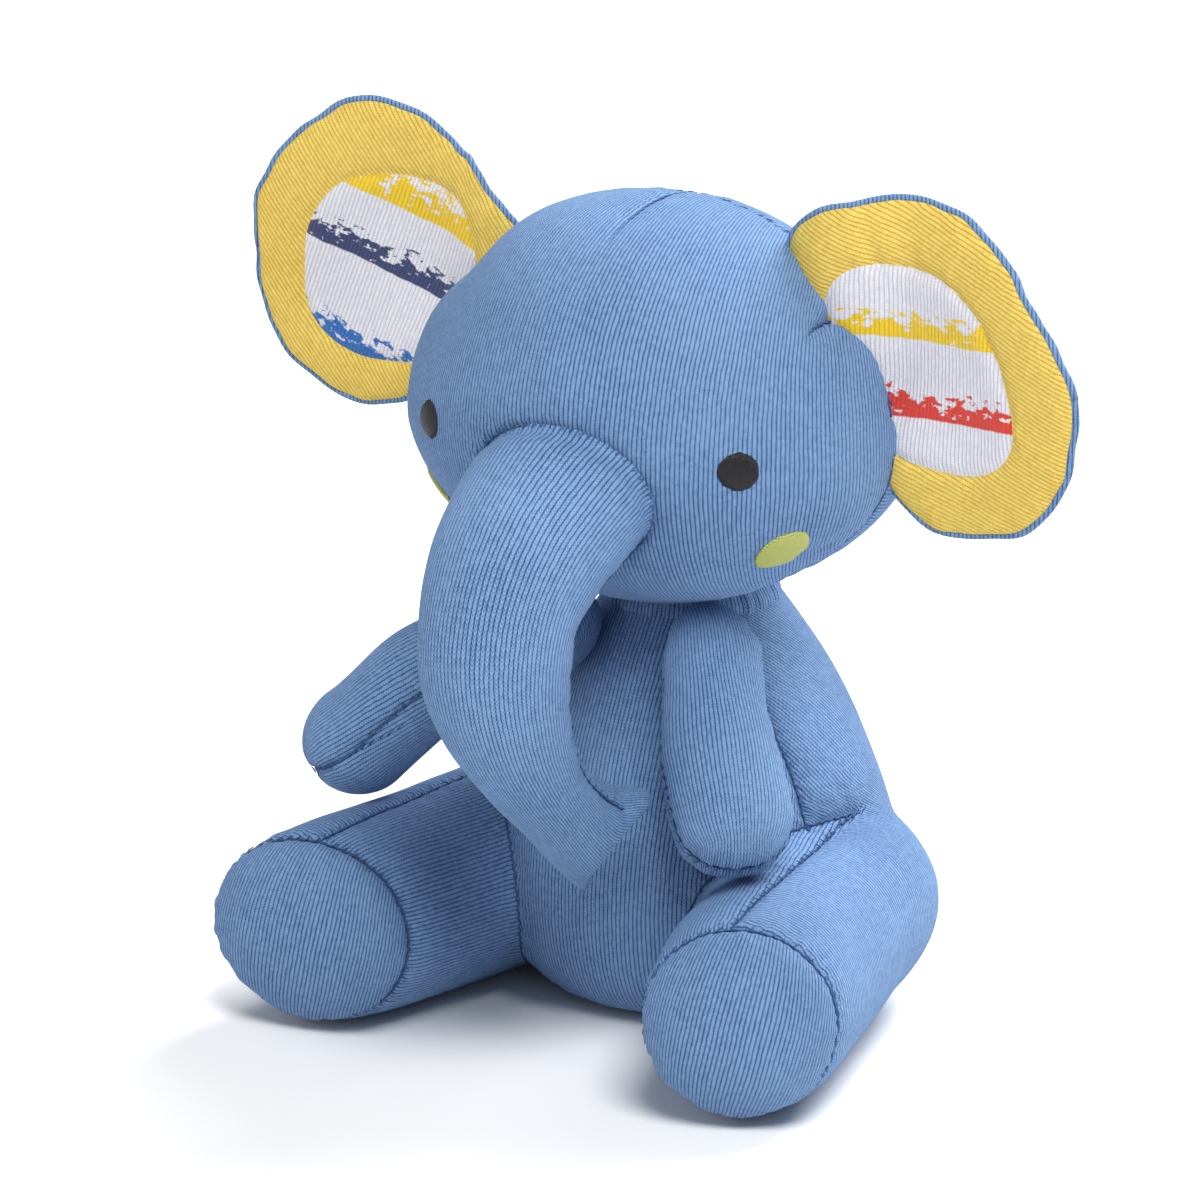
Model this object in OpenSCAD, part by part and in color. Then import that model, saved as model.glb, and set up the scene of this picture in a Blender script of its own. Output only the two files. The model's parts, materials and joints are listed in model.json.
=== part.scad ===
// Seated stuffed elephant: knitted cotton panels sewn over fibre filling.
// Frame: +Z up, the elephant faces -Y, its left side is +X, the origin is on the flat of the seat.

/* [Body] */
// Height of the body from the seat to the neck
body_h = 78; // [66:1:96]
// Fullness of the belly, as the reach of its side curve
belly_reach = 48; // [42:1:58]
// Radius of the flat of the seat
seat_r = 26; // [21:1:31]
// Radius of the top of the body under the head
neck_r = 17; // [15:1:21]
// Thickness of one layer of knitted cotton
cloth = 1; // [0.6:0.1:1.4]

/* [Head] */
// Width of the head
head_w = 98; // [82:1:118]
// Radius of the head seen from the side
head_r = 40; // [34:1:48]
// How far the middle of the head sits in front of the neck
head_forward = 13; // [10:1:16]
// Diameter of an embroidered eye
eye_d = 8; // [5:0.5:10]
// Length of an embroidered cheek spot
cheek_len = 11; // [7:0.5:13]

/* [Trunk] */
// Radius of the trunk at its middle
trunk_r = 14; // [11:0.5:16]
// Radius of the trunk just before its tip
trunk_tip_r = 8; // [6:0.5:10]
// How far the trunk bulges in front of its root
trunk_bulge = 40; // [34:1:46]
// How far the tip swings to the elephant's left
tip_swing = 12; // [6:1:14]

/* [Ears] */
// Width of an ear from its seam to its outer edge
ear_w = 55; // [46:1:66]
// Height of an ear
ear_h = 60; // [50:1:72]
// Width and height of the printed panel
print_d = 38; // [32:1:44]
// Thickness of the wadding inside an ear
wadding = 3; // [2:0.5:4]

/* [Arms] */
// Radius of an arm at the hand
hand_r = 11.5; // [9:0.5:13]
// Radius of an arm at the shoulder
shoulder_r = 8; // [6.5:0.5:9]

/* [Legs] */
// Radius of a leg
leg_r = 20; // [17:0.5:24]
// Distance from the hip to the seam of the sole
leg_len = 65; // [56:1:78]
// Angle that each leg turns outward
leg_splay = 15; // [10:1:20]
// How far the stuffed sole domes out
sole_dome = 7; // [4:1:9]

/* [Tail] */
// Length of the tail
tail_len = 24; // [18:1:30]
// Radius of the tail at its seam
tail_r = 3.2; // [2.5:0.1:4]

/* [Hidden] */

LEFT = 1;
RIGHT = -1;
BLUE = "#5b8bc8";
YELLOW = "#f0d24a";
WHITE = "#f4f2ec";
BLACK = "#15151a";
GREEN = "#d8d467";
FIBRE = "#f7f7f4";

// Clearance between parts that move on each other
gap = 0.5;
// Room between a cloth panel and the filling behind it
ease = 0.3;
// Steps along a profile curve
steps = 18;
far = 400;

// Side curve of the body: a Bezier curve from the rim of the seat to the neck
body_curve = [[seat_r, 0], [belly_reach, body_h * 0.12], [belly_reach * 0.8, body_h * 0.65], [neck_r, body_h]];
// Front panel of the body: angle on each side of the middle, up to the side seam
belly_half_angle = 58;

neck_plug_r = 11;
neck_ball_r = 12;
neck_depth = 6;
nod_z = body_h + 11;
head_z = body_h + 1 + head_r;
head_c = [0, -head_forward, head_z];
// The ear-to-ear seam lies this angle behind the crown, and the chin seam this angle below the front
ear_seam_angle = 17;
chin_angle = 72;

trunk_ball_r = 17;
trunk_pivot = [0, head_c.y - head_r * 0.9, head_z - head_r * 0.22];
tip_z = body_h * 0.55;
tip_y = -belly_reach * 0.8 - trunk_tip_r - 4;
trunk_curve = [
  trunk_pivot,
  trunk_pivot + [0, -trunk_bulge * 0.8, -trunk_bulge * 0.4],
  [tip_swing * 0.4, trunk_pivot.y - trunk_bulge, tip_z + 14],
  [tip_swing, tip_y, tip_z]
];
// Angle on each side of the back of the trunk that its narrower under panel covers
trunk_under_half_angle = 50;

// Each ear is sewn into the ear-to-ear seam: its plane turns forward about this point of the seam
ear_forward_angle = 11;
ear_seam_share = 0.8;
ear_seam_x = head_w / 2 * ear_seam_share;
ear_plane_y = head_c.y + head_r * sqrt(1 - ear_seam_share * ear_seam_share) * sin(ear_seam_angle);
ear_gap = 3;
ear_outline_power = 2.5;
print_outline_power = 2.3;
// Least width of yellow border between the printed panel and the head
print_margin = 2;
// The right ear is sewn on this much higher than the left one
right_ear_rise = 4;

hip = [30, 0, leg_r];
leg_dir = [sin(leg_splay), -cos(leg_splay), 0];
sole_r = leg_r - 1;

// Shoulder: height as a share of the body, and direction round the body from the front
shoulder_z = body_h * 0.93;
shoulder_angle = 37;
shoulder_reach = bezier(body_curve, 0.9).x + shoulder_r + gap;
// Left hand hangs before the belly, right hand is held out over the leg
left_hand = [33, -42, 2 * leg_r + hand_r - 0.5];
right_hand = [-51, -37, 2 * leg_r + hand_r - 1.5];

tail_seam = bezier(body_curve, 0.42);
tail_root = [0, tail_seam.x + tail_r + 2 * gap, tail_seam.y];
tail_drop = 50;

// Point at t on a cubic Bezier curve p
function bezier(p, t) = pow(1 - t, 3) * p[0] + 3 * t * pow(1 - t, 2) * p[1]
  + 3 * t * t * (1 - t) * p[2] + t * t * t * p[3];
// Direction of that curve at t
function bezier_dir(p, t) = unit(pow(1 - t, 2) * (p[1] - p[0]) + 2 * t * (1 - t) * (p[2] - p[1])
  + t * t * (p[3] - p[2]));
function unit(v) = v / norm(v);
function reverse(list) = [for (i = [len(list) - 1 : -1 : 0]) list[i]];
function flatten(list) = [for (row = list) each row];

// Body side curve, moved inward by depth
function body_line(depth) = [for (i = [0 : steps])
  let (t = i / steps, d = bezier_dir(body_curve, t)) bezier(body_curve, t) + depth * [-d.y, d.x]];

// Half of an ellipse from angle a0 to a1, as [radius, height] points
function arc(height, radius, a0, a1) = [for (i = [0 : steps])
  let (a = a0 + (a1 - a0) * i / steps) [max(0, radius * cos(a)), height * sin(a)]];

// Side line of a leg from behind the hip to the seam of the sole, along its own axis
function leg_line(depth) = concat(
  arc(leg_r - depth, leg_r - depth, -90, 0),
  [[leg_r - depth, leg_len * 0.75], [leg_r - depth - 0.4, leg_len * 0.9], [sole_r - depth, leg_len]]);

// Side line of an arm from shoulder to hand, along its own axis
function arm_line(length, depth) = concat(
  arc(shoulder_r - depth, shoulder_r - depth, -90, 0),
  [for (p = arc(hand_r - depth, hand_r - depth, 8, 90)) p + [0, length]]);

module revolve_band(outer, inner) {
  polygon(concat(outer, reverse(inner)));
}

// Body -----------------------------------------------------------------

module body_solid(depth = 0) {
  rotate_extrude() polygon(concat([[0, depth]], body_line(depth), [[0, body_h - depth]]));
}

module body_sector(from_angle, angle) {
  rotate([0, 0, from_angle])
    rotate_extrude(angle = angle)
      polygon(concat(body_line(0), [[neck_plug_r + gap, body_h], [neck_plug_r + gap, body_h - cloth]],
        reverse(body_line(cloth))));
}

module neck_recess() {
  translate([0, 0, body_h - neck_depth]) cylinder(r = neck_plug_r + gap, h = far);
}

module belly_panel() {
  color(BLUE) difference() {
    body_sector(270 - belly_half_angle, 2 * belly_half_angle);
    seat_disc();
  }
}

module back_panel(side) {
  start = side == LEFT ? -90 + belly_half_angle : 90;
  color(BLUE) difference() {
    body_sector(start, 180 - belly_half_angle);
    seat_disc();
  }
}

module seat_disc() {
  cylinder(r = seat_r - 1, h = cloth);
}

module seat_panel() {
  color(BLUE) seat_disc();
}

module body_stuffing() {
  color(FIBRE) difference() {
    body_solid(cloth + ease);
    neck_recess();
  }
}

// Legs -----------------------------------------------------------------

module at_leg(side) {
  translate([side * hip.x, hip.y, hip.z])
    rotate([90, 0, side * leg_splay])
      children();
}

module leg_skin(side, from_angle) {
  color(BLUE) difference() {
    at_leg(side) rotate([0, 0, from_angle])
      rotate_extrude(angle = 180) revolve_band(leg_line(0), leg_line(cloth));
    body_solid();
  }
}

module inner_leg(side) {
  leg_skin(side, side == LEFT ? 90 : -90);
}

module outer_leg(side) {
  leg_skin(side, side == LEFT ? -90 : 90);
}

module sole(side) {
  color(BLUE) at_leg(side) translate([0, 0, leg_len])
    rotate_extrude() revolve_band(arc(sole_dome, sole_r, 0, 90), arc(sole_dome - cloth, sole_r - cloth, 0, 90));
}

module leg_stuffing(side) {
  color(FIBRE) difference() {
    at_leg(side) rotate_extrude() polygon(concat(leg_line(cloth + ease),
      [for (p = arc(sole_dome - cloth - ease, sole_r - cloth - ease, 1, 90)) p + [0, leg_len]]));
    body_solid(-ease);
  }
}

// Neck -----------------------------------------------------------------

module neck_stuffing() {
  color(FIBRE) {
    translate([0, 0, body_h - neck_depth + gap]) cylinder(r = neck_plug_r, h = neck_depth - gap);
    translate([0, 0, nod_z]) sphere(r = neck_ball_r);
  }
}

module neck_socket() {
  translate([0, 0, nod_z]) sphere(r = neck_ball_r + gap);
}

// Head -----------------------------------------------------------------

// Turns an axis along Z into the ear-to-ear axis: 0 is down, 90 is back, 180 is up and 270 is front
module at_head() {
  translate(head_c) rotate([0, 90, 0]) children();
}

module head_band(from_angle, angle, half_from = -90, half_to = 90) {
  at_head() rotate([0, 0, from_angle]) rotate_extrude(angle = angle)
    revolve_band(arc(head_w / 2, head_r, half_from, half_to),
      arc(head_w / 2 - cloth, head_r - cloth, half_from, half_to));
}

module trunk_socket() {
  translate(trunk_pivot) sphere(r = trunk_ball_r + gap);
}

module face_panel() {
  color(BLUE) difference() {
    head_band(180 - ear_seam_angle, 90 + ear_seam_angle + chin_angle);
    trunk_socket();
  }
}

module chin_panel() {
  color(BLUE) difference() {
    head_band(270 + chin_angle, 90 - chin_angle + ear_seam_angle);
    neck_socket();
    trunk_socket();
  }
}

module head_back(side) {
  color(BLUE) difference() {
    head_band(ear_seam_angle, 180 - 2 * ear_seam_angle, side == LEFT ? 0 : -90, side == LEFT ? 90 : 0);
    neck_socket();
  }
}

module head_stuffing() {
  color(FIBRE) difference() {
    at_head() rotate_extrude() polygon(arc(head_w / 2 - cloth - ease, head_r - cloth - ease, -90, 90));
    neck_socket();
    trunk_socket();
  }
}

// Puts a flat piece on the face: across is the share of the half width, turn the angle up from the front
module on_face(side, across, turn) {
  a = asin(across);
  ring = head_r * cos(a);
  slope = atan2(head_r * sin(a), head_w / 2 * cos(a));
  translate(head_c + [side * head_w / 2 * across, -ring * cos(turn), ring * sin(turn)])
    rotate([90 - turn, 0, 0])
      rotate([0, side * slope, 0])
        children();
}

module eye(side) {
  color(BLACK) on_face(side, 0.69, -4) translate([0, 0, 0.1]) cylinder(d = eye_d, h = 0.8);
}

module cheek(side) {
  color(GREEN) on_face(side, 0.75, -50) rotate([0, 0, side * 20]) translate([0, 0, 0.25])
    linear_extrude(0.7)
      polygon([for (i = [0 : 35]) [cheek_len / 2 * cos(i * 10), cheek_len / 3 * sin(i * 10)]]);
}

// Trunk ----------------------------------------------------------------

// Radius of the trunk at t: a ball in its socket at the root, then a tapering tube with a rounded tip
function trunk_radius(t) = t < 0 ? 0
  : t < 0.5 ? trunk_ball_r - 2 + (trunk_r - trunk_ball_r + 2) * smooth(t / 0.5)
  : trunk_r + (trunk_tip_r - trunk_r) * smooth((t - 0.5) / 0.5);
function smooth(x) = x * x * (3 - 2 * x);

trunk_sides = 20;
trunk_rings = 16;
trunk_cap_rings = 4;
// Two lobes of the tip stand out by this much, to the front and to the back
lobe = 4;
// Room between the trunk's cloth and its filling
trunk_ease = 0.3;

// A point on the trunk: k counts rings from the root cap to the tip cap, a is the angle from the front
function trunk_point(k, a, depth) =
  k < trunk_cap_rings ? root_point(90 * k / trunk_cap_rings, a, depth)
  : k > trunk_cap_rings + trunk_rings ? tip_point(90 * (k - trunk_cap_rings - trunk_rings) / trunk_cap_rings, a, depth)
  : tube_point(0.03 + 0.97 * (k - trunk_cap_rings) / trunk_rings, a, trunk_radius((k - trunk_cap_rings) / trunk_rings) - depth);

function frame_front(t) = unit(cross([-1, 0, 0], bezier_dir(trunk_curve, t)));
function frame_side(t) = cross(frame_front(t), bezier_dir(trunk_curve, t));
function tube_point(t, a, r) = bezier(trunk_curve, t) + r * (cos(a) * frame_front(t) + sin(a) * frame_side(t));
// The root is the back of a ball
function root_point(b, a, depth) =
  let (r = trunk_radius(0) - depth)
  trunk_pivot + r * sin(b) * (cos(a) * frame_front(0) + sin(a) * frame_side(0)) - r * cos(b) * bezier_dir(trunk_curve, 0);
// The tip is a shallow cap whose front and back edges stand out as lobes
function tip_point(b, a, depth) =
  let (r = trunk_tip_r - depth)
  tube_point(1, a, r * cos(b) + lobe * pow(cos(a), 2) * sin(2 * b) / 3)
  + (r * 0.5 * sin(b) + lobe * pow(cos(a), 2) * sin(2 * b)) * bezier_dir(trunk_curve, 1);

trunk_last = 2 * trunk_cap_rings + trunk_rings;

function trunk_grid(a0, a1, n, depth) = [for (k = [0 : trunk_last])
  let (kk = k == 0 ? 0.02 : k == trunk_last ? trunk_last - 0.02 : k)
  [for (i = [0 : n]) trunk_point(kk, a0 + (a1 - a0) * i / n, depth)]];

// Two triangles for each cell of a grid of points with the given row length
function grid_faces(rows, row_len, first, flip) = [for (j = [0 : rows - 2], i = [0 : row_len - 2])
  let (a = first + j * row_len + i, b = a + 1, c = a + row_len, d = c + 1)
  each flip ? [[a, c, b], [b, c, d]] : [[a, b, c], [b, d, c]]];
// A strip of triangles that joins two equal lists of points
function strip_faces(p, q, flip) = [for (i = [0 : len(p) - 2])
  each flip ? [[p[i], p[i + 1], q[i]], [p[i + 1], q[i + 1], q[i]]] : [[p[i], q[i], p[i + 1]], [p[i + 1], q[i], q[i + 1]]]];

// A closed sheet between an outer and an inner grid of the same size
module sheet(outer, inner) {
  rows = len(outer);
  n = len(outer[0]);
  count = rows * n;
  low = [for (i = [0 : n - 1]) i];
  high = [for (i = [0 : n - 1]) (rows - 1) * n + i];
  first = [for (j = [0 : rows - 1]) j * n];
  last = [for (j = [0 : rows - 1]) j * n + n - 1];
  function inside(list) = [for (i = list) i + count];
  polyhedron(concat(flatten(outer), flatten(inner)), concat(
    grid_faces(rows, n, 0, false), grid_faces(rows, n, count, true),
    strip_faces(low, inside(low), false), strip_faces(high, inside(high), true),
    strip_faces(first, inside(first), true), strip_faces(last, inside(last), false)));
}

module trunk_panel(a0, a1, n) {
  color(BLUE) sheet(trunk_grid(a0, a1, n, 0), trunk_grid(a0, a1, n, cloth));
}

module trunk_top_panel() {
  trunk_panel(-180 + trunk_under_half_angle, 180 - trunk_under_half_angle, 14);
}

module trunk_under_panel() {
  trunk_panel(180 - trunk_under_half_angle, 180 + trunk_under_half_angle, 6);
}

module trunk_stuffing() {
  n = trunk_sides;
  rings = [for (k = [1 : trunk_last - 1]) [for (i = [0 : n - 1]) trunk_point(k, 360 * i / n, cloth + trunk_ease)]];
  rows = len(rings);
  points = concat(flatten(rings), [trunk_point(0, 0, cloth + trunk_ease), trunk_point(trunk_last, 0, cloth + trunk_ease)]);
  faces = concat(
    [for (j = [0 : rows - 2], i = [0 : n - 1])
      let (a = j * n + i, b = j * n + (i + 1) % n, c = a + n, d = b + n) each [[a, b, c], [b, d, c]]],
    [for (i = [0 : n - 1]) [rows * n, (i + 1) % n, i]],
    [for (i = [0 : n - 1]) [rows * n + 1, (rows - 1) * n + i, (rows - 1) * n + (i + 1) % n]]);
  color(FIBRE) polyhedron(points, faces);
}

// Ears -----------------------------------------------------------------

// Outline of an ear before the head takes its bite, as a squared-off ellipse
function squircle(w, h, power) = [for (i = [0 : 47]) let (a = i * 7.5)
  [w / 2 * sign(cos(a)) * pow(abs(cos(a)), 2 / power), h / 2 * sign(sin(a)) * pow(abs(sin(a)), 2 / power)]];

// Middle of the ear, measured from the middle of the head in the plane of the ear
ear_mid = [ear_seam_x + ear_w * 0.38, head_r * 0.38];

// The ear without the room for the head, seen from the front
module beside_head(side, clearance) {
  difference() {
    translate([0, side == RIGHT ? right_ear_rise : 0]) children();
    polygon([for (i = [0 : 71]) [(head_w / 2 + clearance) * cos(i * 5), (head_r + clearance) * sin(i * 5)]]);
  }
}

module ear_shape(side) {
  beside_head(side, ear_gap) translate(ear_mid) polygon(squircle(ear_w, ear_h, ear_outline_power));
}

module print_shape(side) {
  beside_head(side, ear_gap + print_margin)
    translate(ear_mid + [ear_w * 0.02, 0]) polygon(squircle(print_d, print_d, print_outline_power));
}

// Stands a flat shape up in the plane of an ear, low being its distance behind the middle
module ear_layer(side, low, thickness) {
  mirror([side == LEFT ? 0 : 1, 0, 0])
    translate([ear_seam_x, ear_plane_y, head_z])
      rotate([0, 0, -ear_forward_angle])
        translate([-ear_seam_x, low, 0])
          rotate([90, 0, 0])
            translate([0, 0, -thickness])
              linear_extrude(thickness)
                children();
}

module ear_front(side) {
  color(YELLOW) ear_layer(side, -wadding / 2 - cloth, cloth) difference() {
    ear_shape(side);
    print_shape(side);
  }
}

module ear_print(side) {
  color(WHITE) ear_layer(side, -wadding / 2 - cloth, cloth) print_shape(side);
}

module ear_wadding(side) {
  color(FIBRE) ear_layer(side, -wadding / 2, wadding) ear_shape(side);
}

module ear_back(side) {
  color(BLUE) ear_layer(side, wadding / 2, cloth) ear_shape(side);
}

// Arms -----------------------------------------------------------------

function shoulder(side) = [side * shoulder_reach * sin(shoulder_angle), -shoulder_reach * cos(shoulder_angle), shoulder_z];
function hand(side) = side == LEFT ? left_hand : right_hand;

// Turns the Z axis to run from the shoulder to the hand
module at_arm(side) {
  v = hand(side) - shoulder(side);
  translate(shoulder(side))
    rotate([0, acos(v.z / norm(v)), atan2(v.y, v.x)])
      children();
}

function arm_length(side) = norm(hand(side) - shoulder(side));

module arm_skin(side, from_angle) {
  length = arm_length(side);
  color(BLUE) at_arm(side) rotate([0, 0, from_angle])
    rotate_extrude(angle = 180) revolve_band(arm_line(length, 0), arm_line(length, cloth));
}

module arm_front(side) {
  arm_skin(side, 90);
}

module arm_back(side) {
  arm_skin(side, -90);
}

module arm_stuffing(side) {
  color(FIBRE) at_arm(side) rotate_extrude() polygon(arm_line(arm_length(side), cloth + ease));
}

// Tail -----------------------------------------------------------------

module at_tail() {
  translate(tail_root) rotate([-90 - tail_drop, 0, 0]) children();
}

function tail_line(depth) = concat(
  arc(tail_r - depth, tail_r - depth, -90, 0),
  [for (p = arc(tail_r - depth, tail_r - depth, 0, 90)) p + [0, tail_len]]);

module tail_cover() {
  color(BLUE) at_tail() rotate_extrude() revolve_band(tail_line(0), tail_line(cloth));
}

module tail_stuffing() {
  color(FIBRE) at_tail() rotate_extrude() polygon(tail_line(cloth + ease));
}

belly_panel();
back_panel(LEFT);  // back_panel_left
back_panel(RIGHT);  // back_panel_right
seat_panel();
body_stuffing();
inner_leg(LEFT);  // inner_leg_left
inner_leg(RIGHT);  // inner_leg_right
outer_leg(LEFT);  // outer_leg_left
outer_leg(RIGHT);  // outer_leg_right
sole(LEFT);  // sole_left
sole(RIGHT);  // sole_right
leg_stuffing(LEFT);  // leg_stuffing_left
leg_stuffing(RIGHT);  // leg_stuffing_right
neck_stuffing();
face_panel();
chin_panel();
head_back(LEFT);  // head_back_left
head_back(RIGHT);  // head_back_right
head_stuffing();
eye(LEFT);  // eye_left
eye(RIGHT);  // eye_right
cheek(LEFT);  // cheek_left
cheek(RIGHT);  // cheek_right
trunk_top_panel();
trunk_under_panel();
trunk_stuffing();
ear_front(LEFT);  // ear_front_left
ear_front(RIGHT);  // ear_front_right
ear_print(LEFT);  // ear_print_left
ear_print(RIGHT);  // ear_print_right
ear_back(LEFT);  // ear_back_left
ear_back(RIGHT);  // ear_back_right
ear_wadding(LEFT);  // ear_wadding_left
ear_wadding(RIGHT);  // ear_wadding_right
arm_front(LEFT);  // arm_front_left
arm_front(RIGHT);  // arm_front_right
arm_back(LEFT);  // arm_back_left
arm_back(RIGHT);  // arm_back_right
arm_stuffing(LEFT);  // arm_stuffing_left
arm_stuffing(RIGHT);  // arm_stuffing_right
tail_cover();
tail_stuffing();
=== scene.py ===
import bmesh
import bpy
import json
import math
import numpy as np
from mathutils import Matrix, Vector, noise
from mathutils.bvhtree import BVHTree
from mathutils.kdtree import KDTree


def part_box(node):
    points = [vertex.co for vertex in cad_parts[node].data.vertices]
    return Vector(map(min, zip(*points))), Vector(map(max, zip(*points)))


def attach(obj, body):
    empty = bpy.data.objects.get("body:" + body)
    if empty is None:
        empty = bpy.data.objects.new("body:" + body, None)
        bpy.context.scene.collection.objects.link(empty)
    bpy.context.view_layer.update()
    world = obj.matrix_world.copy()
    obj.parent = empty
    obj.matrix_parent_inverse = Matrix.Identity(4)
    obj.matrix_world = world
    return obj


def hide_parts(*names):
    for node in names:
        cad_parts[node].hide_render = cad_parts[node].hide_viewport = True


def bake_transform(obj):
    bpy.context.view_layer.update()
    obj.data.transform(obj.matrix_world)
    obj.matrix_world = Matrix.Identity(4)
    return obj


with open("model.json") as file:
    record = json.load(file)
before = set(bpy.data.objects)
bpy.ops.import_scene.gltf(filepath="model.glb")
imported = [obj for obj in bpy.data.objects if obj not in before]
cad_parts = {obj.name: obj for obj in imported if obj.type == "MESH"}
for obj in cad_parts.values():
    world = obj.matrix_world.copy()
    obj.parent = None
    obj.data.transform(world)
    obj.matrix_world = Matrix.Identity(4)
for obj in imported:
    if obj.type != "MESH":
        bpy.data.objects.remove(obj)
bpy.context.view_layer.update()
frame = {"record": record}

MM = 0.001
SIDES = {"left": 1, "right": -1}


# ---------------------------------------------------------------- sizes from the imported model, in mm

def box_mm(*names):
    """Low and high corner of the box round the named nodes."""
    boxes = [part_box(name) for name in names]
    low = np.min([list(b[0]) for b in boxes], axis=0) / MM
    high = np.max([list(b[1]) for b in boxes], axis=0) / MM
    return low, high


def joint_mm(name):
    """Where a joint's pivot is."""
    joint = next(j for j in frame["record"]["behaviour"]["joints"] if j["name"] == name)
    return np.array(joint["pos_m"], float) / MM


head_low, head_high = box_mm("face_panel", "chin_panel", "head_back_left", "head_back_right")
HEAD_R = (head_high[2] - head_low[2]) / 2
HEAD_W = head_high[0]
HEAD_C = np.array([0, head_high[1] - HEAD_R, head_low[2] + HEAD_R])
BODY_H = box_mm("back_panel_left")[1][2]
LEG_R = box_mm("outer_leg_left")[1][2] / 2
TRUNK_ROOT = joint_mm("trunk_lift")
SPLAY = math.radians(15)
LEG_DIR = np.array([math.sin(SPLAY), -math.cos(SPLAY), 0])
HIP = np.array([30, 0, LEG_R])
LEG_LEN = 65
# each sole's cut across the leg leans by this slope, towards the outside where it is positive
SOLE_SLOPE = {1: -0.14, -1: 0.42}
SEAT_R, BELLY_R, NECK_R = 26, 48, 17
HIP_FAT, HIP_FAT_SIZE = np.array([48, 8, 30]), [22, 30, 34]
SKIN_VOXEL = 2.3
SEAM_REACH = 4.0
SWELL_PRESSURE, SWELL_FRAMES = 4.0, 20


def unit(v):
    v = np.asarray(v, float)
    return v / np.linalg.norm(v, axis=-1, keepdims=True)


def bezier(p, t):
    p = np.asarray(p, float)
    t = np.atleast_1d(np.asarray(t, float))[:, None]
    return (1 - t) ** 3 * p[0] + 3 * t * (1 - t) ** 2 * p[1] + 3 * t * t * (1 - t) * p[2] + t ** 3 * p[3]


def bezier_dir(p, t):
    p = np.asarray(p, float)
    t = np.atleast_1d(np.asarray(t, float))[:, None]
    return unit((1 - t) ** 2 * (p[1] - p[0]) + 2 * t * (1 - t) * (p[2] - p[1]) + t * t * (p[3] - p[2]))


def smooth(x, a=0.0, b=1.0):
    x = np.clip((np.asarray(x, float) - a) / (b - a), 0, 1)
    return x * x * (3 - 2 * x)


def bell(x, width):
    """1 where x is 0, falling to nothing a few widths away."""
    return np.exp(-(x / width) ** 2)


def circle(count):
    return np.linspace(-math.pi, math.pi, count + 1)[:-1]


def upright(r, angle, z):
    """Points at a radius round the upright axis, with the angle counted from straight ahead."""
    r, angle, z = np.broadcast_arrays(*(np.asarray(value, float) for value in (r, angle, z)))
    return np.stack([r * np.sin(angle), -r * np.cos(angle), z], axis=1)


def bump_noise(points, wavelength, seed=0.0):
    """Smooth noise from -1 to 1 at each point in mm."""
    shift = Vector((seed, seed * 0.7, -seed))
    return np.array([noise.noise(Vector(p) / wavelength + shift) for p in points.tolist()])


def meeting(point, far, low, high):
    """The point between two places on a line at which far() turns positive."""
    for _ in range(24):
        mid = (low + high) / 2
        if far(point([mid]))[0] > 0:
            high = mid
        else:
            low = mid
    return point(low)


# ---------------------------------------------------------------- camera, light and floor

def aim(obj, target):
    obj.rotation_mode = "QUATERNION"
    obj.rotation_quaternion = (Vector(target) - obj.location).to_track_quat("-Z", "Y")


def soft_light(name, location, target, size, power):
    data = bpy.data.lights.new(name, "AREA")
    data.shape = "DISK"
    data.size = size
    data.energy = power
    light = bpy.data.objects.new(name, data)
    bpy.context.scene.collection.objects.link(light)
    light.location = location
    aim(light, target)


def make_camera():
    data = bpy.data.cameras.new("camera")
    data.sensor_width = 36
    data.lens = 187.7
    data.clip_start, data.clip_end = 0.05, 20
    camera = bpy.data.objects.new("camera", data)
    bpy.context.scene.collection.objects.link(camera)
    azimuth, elevation, distance = math.radians(31), math.radians(18), 1.22
    target = Vector((-0.0265, 0.010, 0.0684))
    back = Vector((math.sin(azimuth) * math.cos(elevation), -math.cos(azimuth) * math.cos(elevation),
                   math.sin(elevation)))
    camera.location = target + back * distance
    aim(camera, target)
    bpy.context.scene.camera = camera


def make_stage():
    scene = bpy.context.scene
    scene.view_settings.view_transform = "Standard"
    world = bpy.data.worlds.new("studio")
    world.use_nodes = True
    world.node_tree.nodes["Background"].inputs[0].default_value = (1, 1, 1, 1)
    world.node_tree.nodes["Background"].inputs[1].default_value = 0.25
    scene.world = world
    mesh = bpy.data.meshes.new("floor")
    s = 3.0
    mesh.from_pydata([(-s, -s, 0), (s, -s, 0), (s, s, 0), (-s, s, 0)], [], [(0, 1, 2, 3)])
    floor = bpy.data.objects.new("floor", mesh)
    floor.location.z = -0.0002
    scene.collection.objects.link(floor)
    paint = bpy.data.materials.new("pale_floor")
    paint.use_nodes = True
    shader = paint.node_tree.nodes["Principled BSDF"]
    shader.inputs["Base Color"].default_value = (0.93, 0.93, 0.935, 1)
    shader.inputs["Roughness"].default_value = 0.9
    shader.inputs["Specular IOR Level"].default_value = 0.1
    mesh.materials.append(paint)
    soft_light("key", (0.42, -0.42, 0.92), (0, 0, 0.08), 0.5, 9.4)
    soft_light("fill", (-0.75, -0.85, 0.45), (0, 0, 0.08), 0.8, 2.4)
    soft_light("back", (0.25, 1.0, 1.15), (-0.1, 0.45, 0), 1.1, 34.0)


# ---------------------------------------------------------------- shaders

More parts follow.
